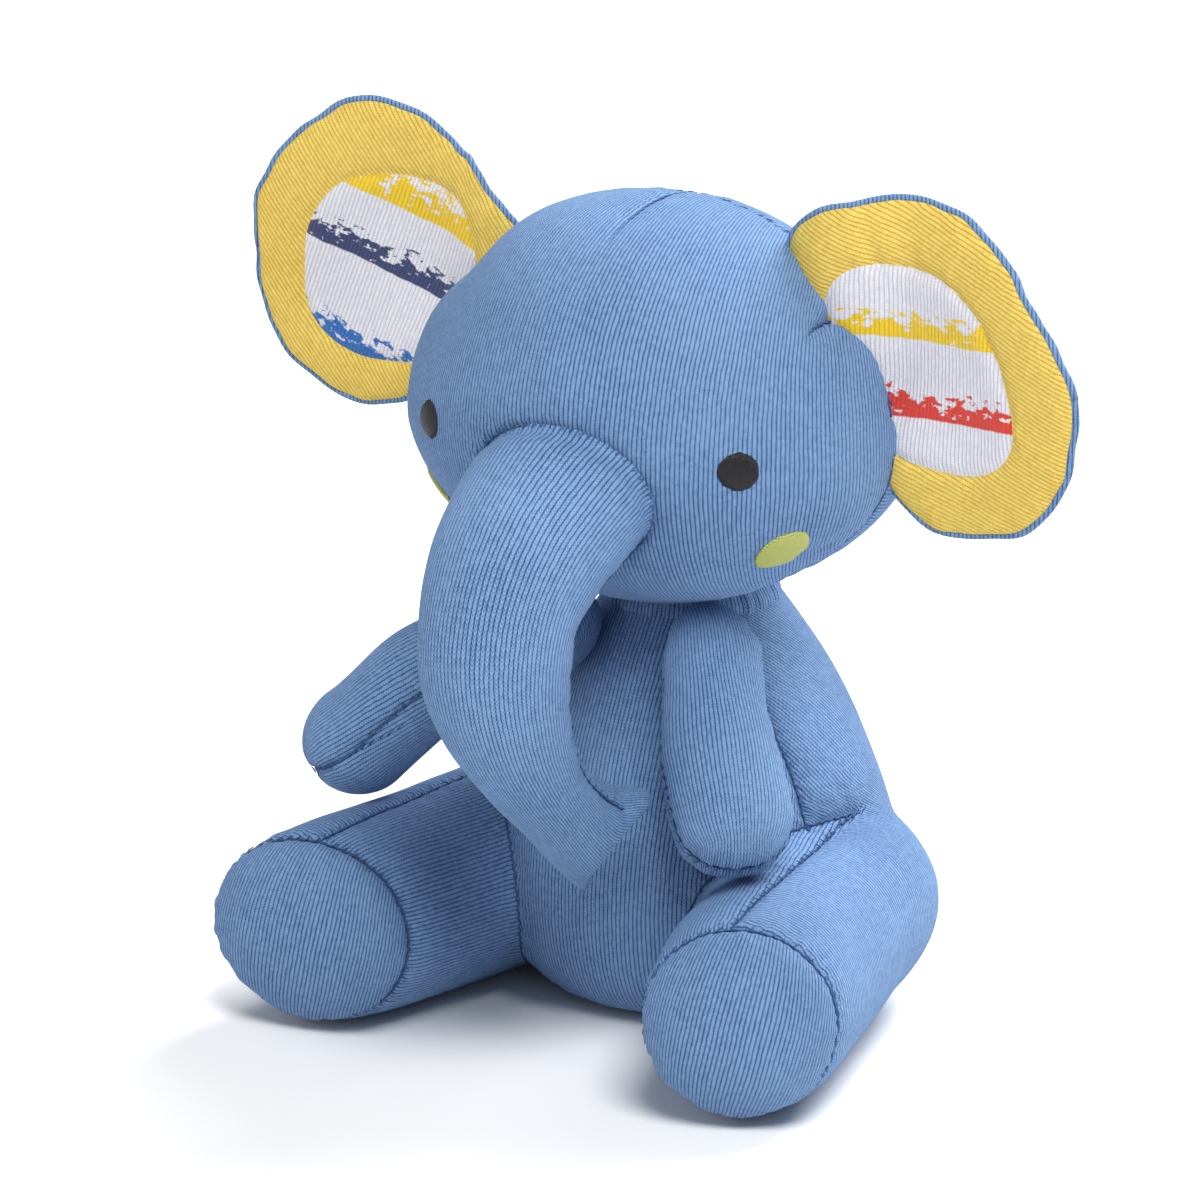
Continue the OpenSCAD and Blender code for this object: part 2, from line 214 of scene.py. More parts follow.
class Graph:
    """Short calls for building the nodes of a cloth or a thread, laid out by its Grain map."""

    def __init__(self, name):
        self.material = bpy.data.materials.new(name)
        self.material.use_nodes = True
        self.tree = self.material.node_tree
        self.shader = self.tree.nodes["Principled BSDF"]
        self.grain = self.node("ShaderNodeUVMap", uv_map="Grain").outputs[0]
        self.place = self.node("ShaderNodeTexCoord").outputs["Object"]
        split = self.node("ShaderNodeSeparateXYZ")
        self.put(split.inputs[0], self.grain)
        self.u, self.v = split.outputs[0], split.outputs[1]

    def node(self, kind, **values):
        made = self.tree.nodes.new(kind)
        for key, value in values.items():
            setattr(made, key, value)
        return made

    def put(self, socket, value):
        if isinstance(value, bpy.types.NodeSocket):
            self.tree.links.new(value, socket)
        else:
            socket.default_value = value

    def math(self, operation, *values):
        made = self.node("ShaderNodeMath", operation=operation)
        for socket, value in zip(made.inputs, values):
            self.put(socket, value)
        return made.outputs[0]

    def add(self, a, b):
        return self.math("ADD", a, b)

    def less(self, a, b):
        return self.math("SUBTRACT", a, b)

    def times(self, a, b):
        return self.math("MULTIPLY", a, b)

    def over(self, a, b):
        return self.math("DIVIDE", a, b)

    def total(self, start, *parts):
        """The start with each part added by its weight."""
        for value, weight in parts:
            start = self.add(start, self.times(value, weight))
        return start

    def fold(self, value):
        """How far each value is from the middle of its unit, from 0 to 0.5."""
        return self.math("ABSOLUTE", self.less(self.math("FRACT", value), 0.5))

    def mix(self, factor, a, b):
        made = self.node("ShaderNodeMix", data_type="RGBA")
        for socket, value in zip((0, 6, 7), (factor, a, b)):
            self.put(made.inputs[socket], value)
        return made.outputs[2]

    def noise(self, vector, scale, detail=2.0, roughness=0.5):
        made = self.node("ShaderNodeTexNoise")
        self.put(made.inputs["Vector"], vector)
        made.inputs["Scale"].default_value = scale
        made.inputs["Detail"].default_value = detail
        made.inputs["Roughness"].default_value = roughness
        return made.outputs["Fac"]

    def step(self, value, low, high):
        made = self.node("ShaderNodeMapRange", interpolation_type="SMOOTHSTEP")
        for key, part in (("Value", value), ("From Min", low), ("From Max", high)):
            self.put(made.inputs[key], part)
        return made.outputs[0]

    def finish(self, height, strength, distance, **looks):
        """Joins the bump and the named looks to the shader."""
        bump = self.node("ShaderNodeBump")
        bump.inputs["Strength"].default_value = strength
        bump.inputs["Distance"].default_value = distance
        self.put(bump.inputs["Height"], height)
        self.put(self.shader.inputs["Normal"], bump.outputs[0])
        for key, value in looks.items():
            self.put(self.shader.inputs[key.replace("_", " ")], value)
        return self.material


def rgb(red, green, blue):
    """Linear colour from the usual 0 to 255 values."""
    def line(c):
        c /= 255
        return c / 12.92 if c <= 0.04045 else ((c + 0.055) / 1.055) ** 2.4
    return (line(red), line(green), line(blue), 1)


def knit(name, light, dark, wale=0.00086, contrast=1.0, stripes=()):
    """Knitted cotton: columns of V stitches along V of the Grain map, which is in metres."""
    course, relief = 0.00058, 0.00020
    g = Graph(name)
    wander = g.noise(g.grain, 90.0, 2.0)
    jitter = g.noise(g.grain, 700.0, 1.0)
    column = g.total(g.over(g.u, wale), (wander, 0.7), (jitter, 0.28))
    across = g.times(g.fold(column), 2.0)
    row = g.total(g.over(g.v, course), (across, 0.95), (wander, 0.8))
    strand = g.less(1.0, g.math("POWER", g.times(g.fold(row), 2.0), 2.0))
    rib = g.less(1.0, g.math("POWER", across, 3.2))
    stitch = g.times(rib, g.add(g.times(strand, 0.58), 0.42))
    fuzz = g.noise(g.place, 4200.0, 3.0, 0.7)
    cloud = g.noise(g.place, 38.0, 3.0, 0.55)
    cell = g.node("ShaderNodeCombineXYZ")
    g.put(cell.inputs[0], g.math("FLOOR", column))
    g.put(cell.inputs[1], g.math("FLOOR", row))
    each = g.node("ShaderNodeTexWhiteNoise", noise_dimensions="2D")
    g.put(each.inputs["Vector"], cell.outputs[0])
    loose = g.less(each.outputs["Value"], 0.5)
    height = g.total(g.times(stitch, 0.85), (fuzz, 0.4), (loose, 0.22))
    tone = g.total(stitch, (g.less(fuzz, 0.5), 0.7), (g.less(cloud, 0.5), 0.35), (loose, 0.24))
    tone = g.step(tone, 0.5 - 0.5 / contrast, 0.62 + 0.42 / contrast)
    colour = g.mix(tone, dark, light)
    # each printed stripe: its middle and half width along V, its ink, its own wear and how far that reaches
    for centre, half, ink, seed, worn in stripes:
        shift = g.noise(g.grain, 150.0, 2.0)
        edge = g.total(g.less(g.v, centre), (g.less(shift, 0.5), 0.0012))
        inside = g.less(1.0, g.step(g.math("ABSOLUTE", edge), half * 0.93, half * 1.04))
        stretch = g.node("ShaderNodeMapping")
        g.put(stretch.inputs["Vector"], g.grain)
        stretch.inputs["Location"].default_value = (seed, seed, seed)
        stretch.inputs["Scale"].default_value = (1.0, 1.6, 1.0)
        rub = g.noise(stretch.outputs[0], 330.0, 5.0, 0.62)
        toward = g.times(g.add(g.over(edge, half), 0.35), worn)
        kept = g.step(g.less(g.less(1.0, rub), toward), 0.40, 0.44)
        shade = tuple(c * 0.62 for c in ink[:3]) + (1,)
        colour = g.mix(g.times(inside, kept), colour, g.mix(tone, shade, ink))
    sheen = tuple(min(1.0, c * 1.3 + 0.1) for c in light[:3]) + (1,)
    return g.finish(height, 0.9, relief, Base_Color=colour, Roughness=g.less(0.97, g.times(fuzz, 0.12)),
                    Specular_IOR_Level=0.22, Sheen_Weight=0.22, Sheen_Roughness=0.55, Sheen_Tint=sheen)


def thread(name, light, dark, roughness=0.7, gloss=0.3):
    """Spun thread: fine twisted strands along V of the Grain map."""
    g = Graph(name)
    lay = g.add(g.over(g.v, 0.00055), g.over(g.u, 0.0009))
    fuzz = g.noise(g.place, 6000.0, 3.0, 0.6)
    tone = g.add(g.times(g.fold(lay), 1.1), g.times(fuzz, 0.5))
    return g.finish(tone, 0.6, 0.00008, Base_Color=g.mix(g.step(tone, 0.0, 1.0), dark, light),
                    Roughness=g.add(roughness, g.times(fuzz, 0.2)), Specular_IOR_Level=gloss)


BLUE = knit("blue_knit", rgb(126, 160, 202), rgb(28, 64, 118))
YELLOW = knit("yellow_knit", rgb(240, 214, 112), rgb(190, 144, 48), wale=0.00082, contrast=0.8)
PALE, PALE_DARK = rgb(232, 231, 237), rgb(180, 180, 192)
PRINT_LEFT = knit("print_knit_left", PALE, PALE_DARK, wale=0.00082, contrast=0.7, stripes=(
    (0.0075, 0.0026, rgb(244, 205, 40), 1.3, 0.10), (-0.0065, 0.0032, rgb(226, 62, 46), 4.1, 0.16)))
PRINT_RIGHT = knit("print_knit_right", PALE, PALE_DARK, wale=0.00082, contrast=0.7, stripes=(
    (0.0140, 0.0042, rgb(244, 205, 40), 2.2, 0.13), (0.0, 0.0031, rgb(58, 68, 112), 6.4, 0.16),
    (-0.0185, 0.0034, rgb(40, 112, 190), 8.8, 0.13)))
# darker blue seam thread: real thread whose darkness also paints the shade in the seam grooves
BLUE_THREAD_AND_GROOVE_SHADE = thread("blue_thread_and_groove_shade", rgb(78, 112, 160), rgb(30, 54, 96))
BLACK_THREAD = thread("black_thread", rgb(24, 24, 28), rgb(6, 6, 8), 0.38, 0.5)
GREEN_THREAD = thread("green_thread", rgb(208, 210, 124), rgb(128, 140, 56), 0.45, 0.4)


# ---------------------------------------------------------------- meshes

def new_object(name, verts_mm, faces):
    mesh = bpy.data.meshes.new(name)
    mesh.from_pydata((np.asarray(verts_mm) * MM).tolist(), [], [tuple(int(i) for i in f) for f in faces])
    mesh.update()
    obj = bpy.data.objects.new(name, mesh)
    bpy.context.scene.collection.objects.link(obj)
    return obj


def verts_of(mesh):
    co = np.empty(len(mesh.vertices) * 3, np.float32)
    mesh.vertices.foreach_get("co", co)
    return co.reshape(-1, 3).astype(float) / MM


def set_verts(mesh, verts_mm):
    mesh.vertices.foreach_set("co", (np.asarray(verts_mm) * MM).astype(np.float32).ravel())
    mesh.update()


def quads_of(mesh):
    return [tuple(p.vertices) for p in mesh.polygons]


def edges_of(mesh):
    pairs = np.empty(len(mesh.edges) * 2, np.int32)
    mesh.edges.foreach_get("vertices", pairs)
    return pairs.reshape(-1, 2)


def applied(obj):
    """The object's mesh with its modifiers applied, as the object's own mesh."""
    graph = bpy.context.evaluated_depsgraph_get()
    mesh = bpy.data.meshes.new_from_object(obj.evaluated_get(graph))
    obj.modifiers.clear()
    old = obj.data
    obj.data = mesh
    bpy.data.meshes.remove(old)
    return obj


def average_neighbours(verts, edges, weights, rounds):
    """Smooths each point towards its neighbours by its own weight."""
    count = np.zeros(len(verts))
    np.add.at(count, edges[:, 0], 1)
    np.add.at(count, edges[:, 1], 1)
    for _ in range(rounds):
        total = np.zeros_like(verts)
        np.add.at(total, edges[:, 0], verts[edges[:, 1]])
        np.add.at(total, edges[:, 1], verts[edges[:, 0]])
        verts = verts + (total / np.maximum(count, 1)[:, None] - verts) * weights[:, None]
    return verts


def stack(rings):
    """A closed shell from rings of equal length, with both ends closed."""
    n = len(rings[0])
    rows = len(rings)
    faces = [(j * n + i, j * n + (i + 1) % n, (j + 1) * n + (i + 1) % n, (j + 1) * n + i)
             for j in range(rows - 1) for i in range(n)]
    faces.append(tuple(reversed(range(n))))
    faces.append(tuple(range((rows - 1) * n, rows * n)))
    return np.vstack(rings), faces


def swell(obj, pinned, cap):
    """Blows the cover up like a filled cushion: the seams hold, the cloth between them crowns."""
    scene = bpy.context.scene
    group = obj.vertex_groups.new(name="seams")
    group.add(np.flatnonzero(pinned).tolist(), 1.0, "REPLACE")
    before = verts_of(obj.data)
    cloth = obj.modifiers.new("swell", "CLOTH")
    cloth.settings.quality = 4
    cloth.settings.mass = 0.2
    cloth.settings.tension_stiffness = 12
    cloth.settings.compression_stiffness = 12
    cloth.settings.bending_stiffness = 0.4
    cloth.settings.use_pressure = True
    cloth.settings.uniform_pressure_force = SWELL_PRESSURE
    cloth.settings.vertex_group_mass = "seams"
    cloth.settings.effector_weights.gravity = 0
    cloth.collision_settings.use_collision = False
    cloth.point_cache.frame_start, cloth.point_cache.frame_end = 1, SWELL_FRAMES
    for step in range(1, SWELL_FRAMES + 1):
        scene.frame_set(step)
        scene.frame_set(step)
    after = verts_of(obj.evaluated_get(bpy.context.evaluated_depsgraph_get()).data)
    move = after - before
    length = np.linalg.norm(move, axis=1)
    move *= np.minimum(1, cap / np.maximum(length, 1e-6))[:, None]
    obj.modifiers.clear()
    obj.vertex_groups.clear()
    set_verts(obj.data, before + move)
    scene.frame_set(1)


def subdivided(obj, levels):
    modifier = obj.modifiers.new("finer", "SUBSURF")
    modifier.levels = modifier.render_levels = levels
    return applied(obj)


def merge_shells(shells):
    verts, faces, start = [], [], 0
    for v, f in shells:
        verts.append(v)
        faces += [tuple(i + start for i in face) for face in f]
        start += len(v)
    return np.vstack(verts), faces


def voxel_shell(name, shells):
    """One skin round several overlapping closed shells."""
    verts, faces = merge_shells(shells)
    obj = new_object(name, verts, faces)
    tree = BVHTree.FromPolygons((verts * MM).tolist(), faces)
    modifier = obj.modifiers.new("skin", "REMESH")
    modifier.mode = "VOXEL"
    modifier.voxel_size = SKIN_VOXEL * MM
    applied(obj)
    points = verts_of(obj.data)
    for i, p in enumerate(points):
        near, _, _, distance = tree.find_nearest(Vector(p * MM))
        if distance < 0.7 * SKIN_VOXEL * MM:
            points[i] = np.array(near) / MM
    set_verts(obj.data, average_neighbours(points, edges_of(obj.data), np.full(len(points), 0.5), 2))
    return obj


def lumpy(skin, verts, waves, sunk, share=1.0):
    """Sinks the skin a little and gives it soft lumps; each wave is its length, its seed and its height."""
    lumps = sum(bump_noise(verts, length, seed) * height for length, seed, height in waves)
    verts = verts + vertex_normals(verts, quads_of(skin.data)) * ((lumps - sunk) * share)[:, None]
    set_verts(skin.data, verts)
    return verts


def turn_outward(obj):
    """Turns every face outward."""
    work = bmesh.new()
    work.from_mesh(obj.data)
    bmesh.ops.recalc_face_normals(work, faces=work.faces)
    work.to_mesh(obj.data)
    work.free()


def taken(obj):
    """The object's points and faces; the object itself is removed."""
    verts, faces = verts_of(obj.data), quads_of(obj.data)
    bpy.data.objects.remove(obj)
    return verts, faces


def point_tree(points):
    tree = KDTree(len(points))
    for i, p in enumerate(points):
        tree.insert(Vector(p), i)
    tree.balance()
    return tree


# ---------------------------------------------------------------- seams

class Seams:
    """Sewn lines on a skin: each is a row of points, how deep it pulls at each, and how it is stitched."""

    def __init__(self):
        self.lines = []

    # each line can lay a dark running thread in its groove: real thread that also paints the groove's shade line
    def add(self, points, depth=1.0, thread_and_shade_line=True, ladder=True, width=1.0):
        points = np.asarray(points, float)
        gaps = np.linalg.norm(np.diff(points, axis=0), axis=1)
        along = np.concatenate([[0], np.cumsum(gaps)])
        count = max(4, int(along[-1] / 0.5))
        even = np.linspace(0, along[-1], count)
        depth = np.broadcast_to(np.asarray(depth, float), (len(points),))
        self.lines.append({
            "points": np.stack([np.interp(even, along, points[:, k]) for k in range(3)], axis=1),
            "depth": np.interp(even, along, depth), "along": even,
            "thread": thread_and_shade_line, "ladder": ladder, "width": width})

    def project(self, verts, faces):
        tree = BVHTree.FromPolygons((verts * MM).tolist(), faces)
        for line in self.lines:
            normals = np.zeros_like(line["points"])
            for i, p in enumerate(line["points"]):
                near, normal, _, _ = tree.find_nearest(Vector(p * MM))
                line["points"][i] = np.array(near) / MM
                normals[i] = np.array(normal)
            for _ in range(3):
                line["points"][1:-1] = (line["points"][:-2] + 2 * line["points"][1:-1] + line["points"][2:]) / 4
                normals[1:-1] = unit(normals[:-2] + 2 * normals[1:-1] + normals[2:])
            line["normals"] = normals

    def nearness(self, verts, reach):
        """Distance to the nearest seam, its depth there, its width and the place along it."""
        tree = point_tree(np.vstack([line["points"] for line in self.lines]))
        facts = [fact for line in self.lines
                 for fact in zip(line["depth"], [line["width"]] * len(line["depth"]), line["along"])]
        out = np.zeros((len(verts), 4))
        out[:, 0] = reach * 3
        for i, p in enumerate(verts.tolist()):
            _, index, distance = tree.find(p)
            if distance < reach:
                out[i] = distance, *facts[index]
        return out


def vertex_normals(verts, faces):
    quads = np.array([f if len(f) == 4 else (f[0], f[1], f[2], f[2]) for f in faces])
    flat = np.cross(verts[quads[:, 2]] - verts[quads[:, 0]], verts[quads[:, 3]] - verts[quads[:, 1]])
    normals = np.zeros_like(verts)
    for k in range(4):
        np.add.at(normals, quads[:, k], flat)
    return unit(normals + 1e-12)


def sink_seams(verts, faces, seams, pucker=0.16):
    """Pulls the cloth in along each seam, with small puckers on both sides of it."""
    normals = vertex_normals(verts, faces)
    d, depth, width, along = seams.nearness(verts, 9.0).T
    width = np.maximum(width, 0.1)
    narrow = 0.75 * bell(d, 0.85 * width)
    broad = 0.55 * bell(d, 2.7 * width)
    wave = np.sin(along * 2 * math.pi / 2.6 + 2.2 * np.sin(along * 0.37)) * bell(d - 1.3, 1.3) * pucker
    longer = np.sin(along * 2 * math.pi / 7.3 + 1.7 * np.sin(along * 0.19)) * bell(d - 2.8, 2.4) * pucker
    return verts + normals * (depth * (wave + longer - narrow - broad))[:, None]


def upholster(skin, verts, seams, hold, cap, also=False, shallow=0.0, pucker=0.16):
    """Swells the skin where no seam holds it, refines it and pulls it in along its seams."""
    near = seams.nearness(verts, SEAM_REACH)
    swell(skin, (near[:, 0] < hold) & (near[:, 1] > shallow) | also, cap)
    subdivided(skin, 2)
    verts, faces = verts_of(skin.data), quads_of(skin.data)
    seams.project(verts, faces)
    return sink_seams(verts, faces, seams, pucker), faces


def tube_along(points, radius, sides=6, up=None):
    """A thin closed tube that follows points; radius is one value or one for each point."""
    points = np.asarray(points, float)
    radius = np.broadcast_to(np.asarray(radius, float), (len(points),))
    tangent = unit(np.gradient(points, axis=0) + 1e-12)
    if up is None:
        up = np.array([0.3, 0.5, 0.8])
    side = unit(np.cross(tangent, np.broadcast_to(up, tangent.shape)) + 1e-9)
    other = np.cross(tangent, side)
    angles = np.arange(sides) * 2 * math.pi / sides
    rings = [p + r * (np.cos(angles)[:, None] * s + np.sin(angles)[:, None] * o)
             for p, r, s, o in zip(points, radius, side, other)]
    return stack(rings)


def sew(name, seams, seed, sunk=0.75):
    """The thread of each seam: a running line of dark thread in the groove, which also serves as painted shade for the
    groove's dark line, and small slanting stitches over it.
    """
    random = np.random.default_rng(seed)
    shells = []
    for line in seams.lines:
        points, normals, depth, along = line["points"], line["normals"], line["depth"], line["along"]
        tangent = unit(np.gradient(points, axis=0) + 1e-12)
        side = unit(np.cross(normals, tangent))
        base = points - normals * (depth * 1.25 * sunk)[:, None]
        # the running line: real thread, dark and sunk into the groove, that also paints the groove's shade line
        if line["thread"]:
            wiggle = 0.16 * np.sin(along * 2 * math.pi / 1.9)
            shells.append(tube_along(base + side * wiggle[:, None], 0.24 * np.clip(depth, 0.15, 1), 6))
        if line["ladder"]:
            place = 1.0 + random.uniform(0, 1)
            while place < along[-1] - 1.0:
                i = int(np.searchsorted(along, place))
                place += random.uniform(1.7, 2.5)
                if depth[i] < 0.5 or random.uniform() < 0.12:
                    continue
                slant = random.uniform(0.25, 0.75)
                half = random.uniform(0.55, 0.8)
                steps = np.linspace(-1, 1, 5)[:, None]
                arch = (1 - steps ** 2) * 0.22
                path = base[i] + steps * half * (side[i] + slant * tangent[i])
                path = path + normals[i] * (0.42 - arch * 0.2 + 0.1)
                shells.append(tube_along(path, 0.13 * np.array([0.6, 1, 1, 1, 0.6]), 5, normals[i]))
    obj = new_object(name, *merge_shells(shells))
    finish_piece(obj, BLUE_THREAD_AND_GROOVE_SHADE)
    return obj


# ---------------------------------------------------------------- finishing pieces

def set_grain(mesh, uv_mm):
    """The Grain map, in metres, from one value for each vertex."""
    layer = mesh.uv_layers.get("Grain") or mesh.uv_layers.new(name="Grain")
    loops = np.empty(len(mesh.loops), np.int32)
    mesh.loops.foreach_get("vertex_index", loops)
    layer.data.foreach_set("uv", (np.asarray(uv_mm)[loops] * MM).astype(np.float32).ravel())


def finish_piece(obj, material, uv_mm=None):
    mesh = obj.data
    mesh.materials.clear()
    mesh.materials.append(material)
    mesh.polygons.foreach_set("use_smooth", [True] * len(mesh.polygons))
    if uv_mm is None:
        co = verts_of(mesh)
        uv_mm = np.stack([co[:, 0] + co[:, 1] * 0.6, co[:, 2] + co[:, 1] * 0.4], axis=1)
    set_grain(mesh, uv_mm)
    return obj


def cut_piece(name, verts, faces, keep, uv_mm, normals, material=BLUE):
    """A panel: the kept faces of a skin, with the skin's own normals so that it meets its neighbours."""
    chosen = [faces[i] for i in np.flatnonzero(keep)]
    used = np.unique(np.concatenate([np.array(f) for f in chosen]))
    index = np.full(len(verts), -1)
    index[used] = np.arange(len(used))
    obj = new_object(name, verts[used], [tuple(index[i] for i in f) for f in chosen])
    finish_piece(obj, material, uv_mm[used])
    obj.data.normals_split_custom_set_from_vertices([Vector(n) for n in normals[used]])
    return obj


def cut_rigid(body, verts, faces, region, normals, panels):
    """Cuts the panels that ride on one body; each has its region, its Grain map and the nodes it replaces."""
    for name, uv_mm, nodes in panels:
        obj = cut_piece(name + "_knit", verts, faces, region == name, uv_mm, normals)
        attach(obj, body)
        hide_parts(*nodes)


def face_mean(values, faces):
    """The mean over each face of what its points have."""
    return np.array([values[list(f)].mean(axis=0) for f in faces])


# ---------------------------------------------------------------- body and legs

BODY_CURVE = [[SEAT_R, 0], [BELLY_R, BODY_H * 0.12], [BELLY_R * 0.8, BODY_H * 0.65], [NECK_R, BODY_H]]
# the seam along the top of a leg: its angle round the leg at the belly and at the sole
TOP_TURN, SOLE_TOP_TURN = math.radians(17), -0.10
# how far along the cloth the side of a leg takes over from the back
KNIT_RUNS_ON = 68


def body_radius(z):
    table = bezier(BODY_CURVE, np.linspace(0, 1, 200))
    return np.interp(z, table[:, 1], table[:, 0])


def torso_far(p):
    """Rough distance outside the body form."""
    return (np.hypot(p[:, 0], p[:, 1]) - body_radius(p[:, 2])) * 0.93


def leg_frame(side):
    """A leg's root, its direction and the level direction outward across it."""
    return HIP * [side, 1, 1], LEG_DIR * [side, 1, 1], np.array([side * math.cos(SPLAY), math.sin(SPLAY), 0])


def sole_facing(side):
    _, direction, outward = leg_frame(side)
    return unit(direction - outward * SOLE_SLOPE[side])


def leg_place(p, side):
    """Along the leg, the angle round it, with 0 up and positive outward, and the distance from its axis."""
    hip, direction, outward = leg_frame(side)
    rel = p - hip
    x, z = rel @ outward, rel[:, 2]
    return rel @ direction, np.arctan2(x, z), np.hypot(x, z)


def leg_radius(along):
    return LEG_R - 0.9 * smooth(along, LEG_LEN * 0.75, LEG_LEN)


def leg_point(along, angle, side):
    """A point on the leg's side; towards the sole its rings lean with the sole's cut."""
    along, angle = np.broadcast_arrays(np.asarray(along, float), np.asarray(angle, float))
    along = along + SOLE_SLOPE[side] * LEG_R * np.sin(angle) * smooth(along, 10, LEG_LEN)
    hip, direction, outward = leg_frame(side)
    across = np.sin(angle)[..., None] * outward + np.cos(angle)[..., None] * np.array([0, 0, 1])
    return hip + along[..., None] * direction + leg_radius(along)[..., None] * across


def leg_shell(side):
    angles = circle(64)
    hip, direction, _ = leg_frame(side)
    rings = []
    for b in np.radians(np.linspace(-88, 0, 10)):
        ring = leg_point(LEG_R * math.sin(b), angles, side)
        centre = hip + direction * LEG_R * math.sin(b)
        rings.append(centre + (ring - centre) * math.cos(b))
    for t in np.linspace(2, LEG_LEN, 26):
        rings.append(leg_point(t, angles, side))
    middle = hip + direction * LEG_LEN
    rim = leg_point(LEG_LEN, angles, side) - middle
    for b in np.radians(np.linspace(9, 88, 10)):
        rings.append(middle + sole_facing(side) * 7.5 * math.sin(b) + rim * math.cos(b) ** 0.8)
    return stack(rings)


def body_shell():
    angles = circle(96)
    profile = [(SEAT_R * 0.3, 0.4), (SEAT_R * 0.75, 0.2)]
    profile += [tuple(p) for p in bezier(BODY_CURVE, np.linspace(0, 1, 40))]
    profile += [(15, BODY_H + 4), (12.5, BODY_H + 9), (7, BODY_H + 11)]
    return stack([upright(r, angles, z) for r, z in profile])


def side_seam_angle(z):
    return np.radians(58 + 9 * smooth(BODY_H - z, 0, 36))


def crease_line(side):
    """Where the inner half of a leg meets the belly, from the top round the inside to the bottom."""
    return np.array([meeting(lambda t: leg_point(t, angle, side), torso_far, 2.0, 60.0)
                     for angle in np.linspace(TOP_TURN, -math.pi * 0.93, 70)])


def body_seams():
    seams = Seams()
    for side in (1, -1):
        crease = crease_line(side)
        meet = crease[0]
        z = np.linspace(meet[2] - 0.5, BODY_H - 1, 50)
        seams.add(upright(body_radius(z), side_seam_angle(z) * side, z), 1.0)
        fade = np.interp(np.arange(len(crease)), [0, 6, 50, 69], [1.0, 1.0, 0.9, 0.4])
        seams.add(crease, fade, ladder=False)
        start = leg_place(meet[None], side)[0][0]
        t = np.linspace(start, LEG_LEN, 30)
        seams.add(leg_point(t, np.linspace(TOP_TURN, SOLE_TOP_TURN, 30), side), 0.9)
        seams.add(leg_point(t, np.full(30, math.pi), side), 0.5, ladder=False)
        seams.add(leg_point(LEG_LEN, np.linspace(-math.pi, math.pi, 120), side), 1.0)
    z = np.linspace(2, BODY_H - 1, 60)
    seams.add(np.stack([0 * z, body_radius(z), z], axis=1), 1.0)
    seams.add(upright(SEAT_R + 0.5, np.linspace(-math.pi, math.pi, 80), 0.8), 0.35)
    return seams


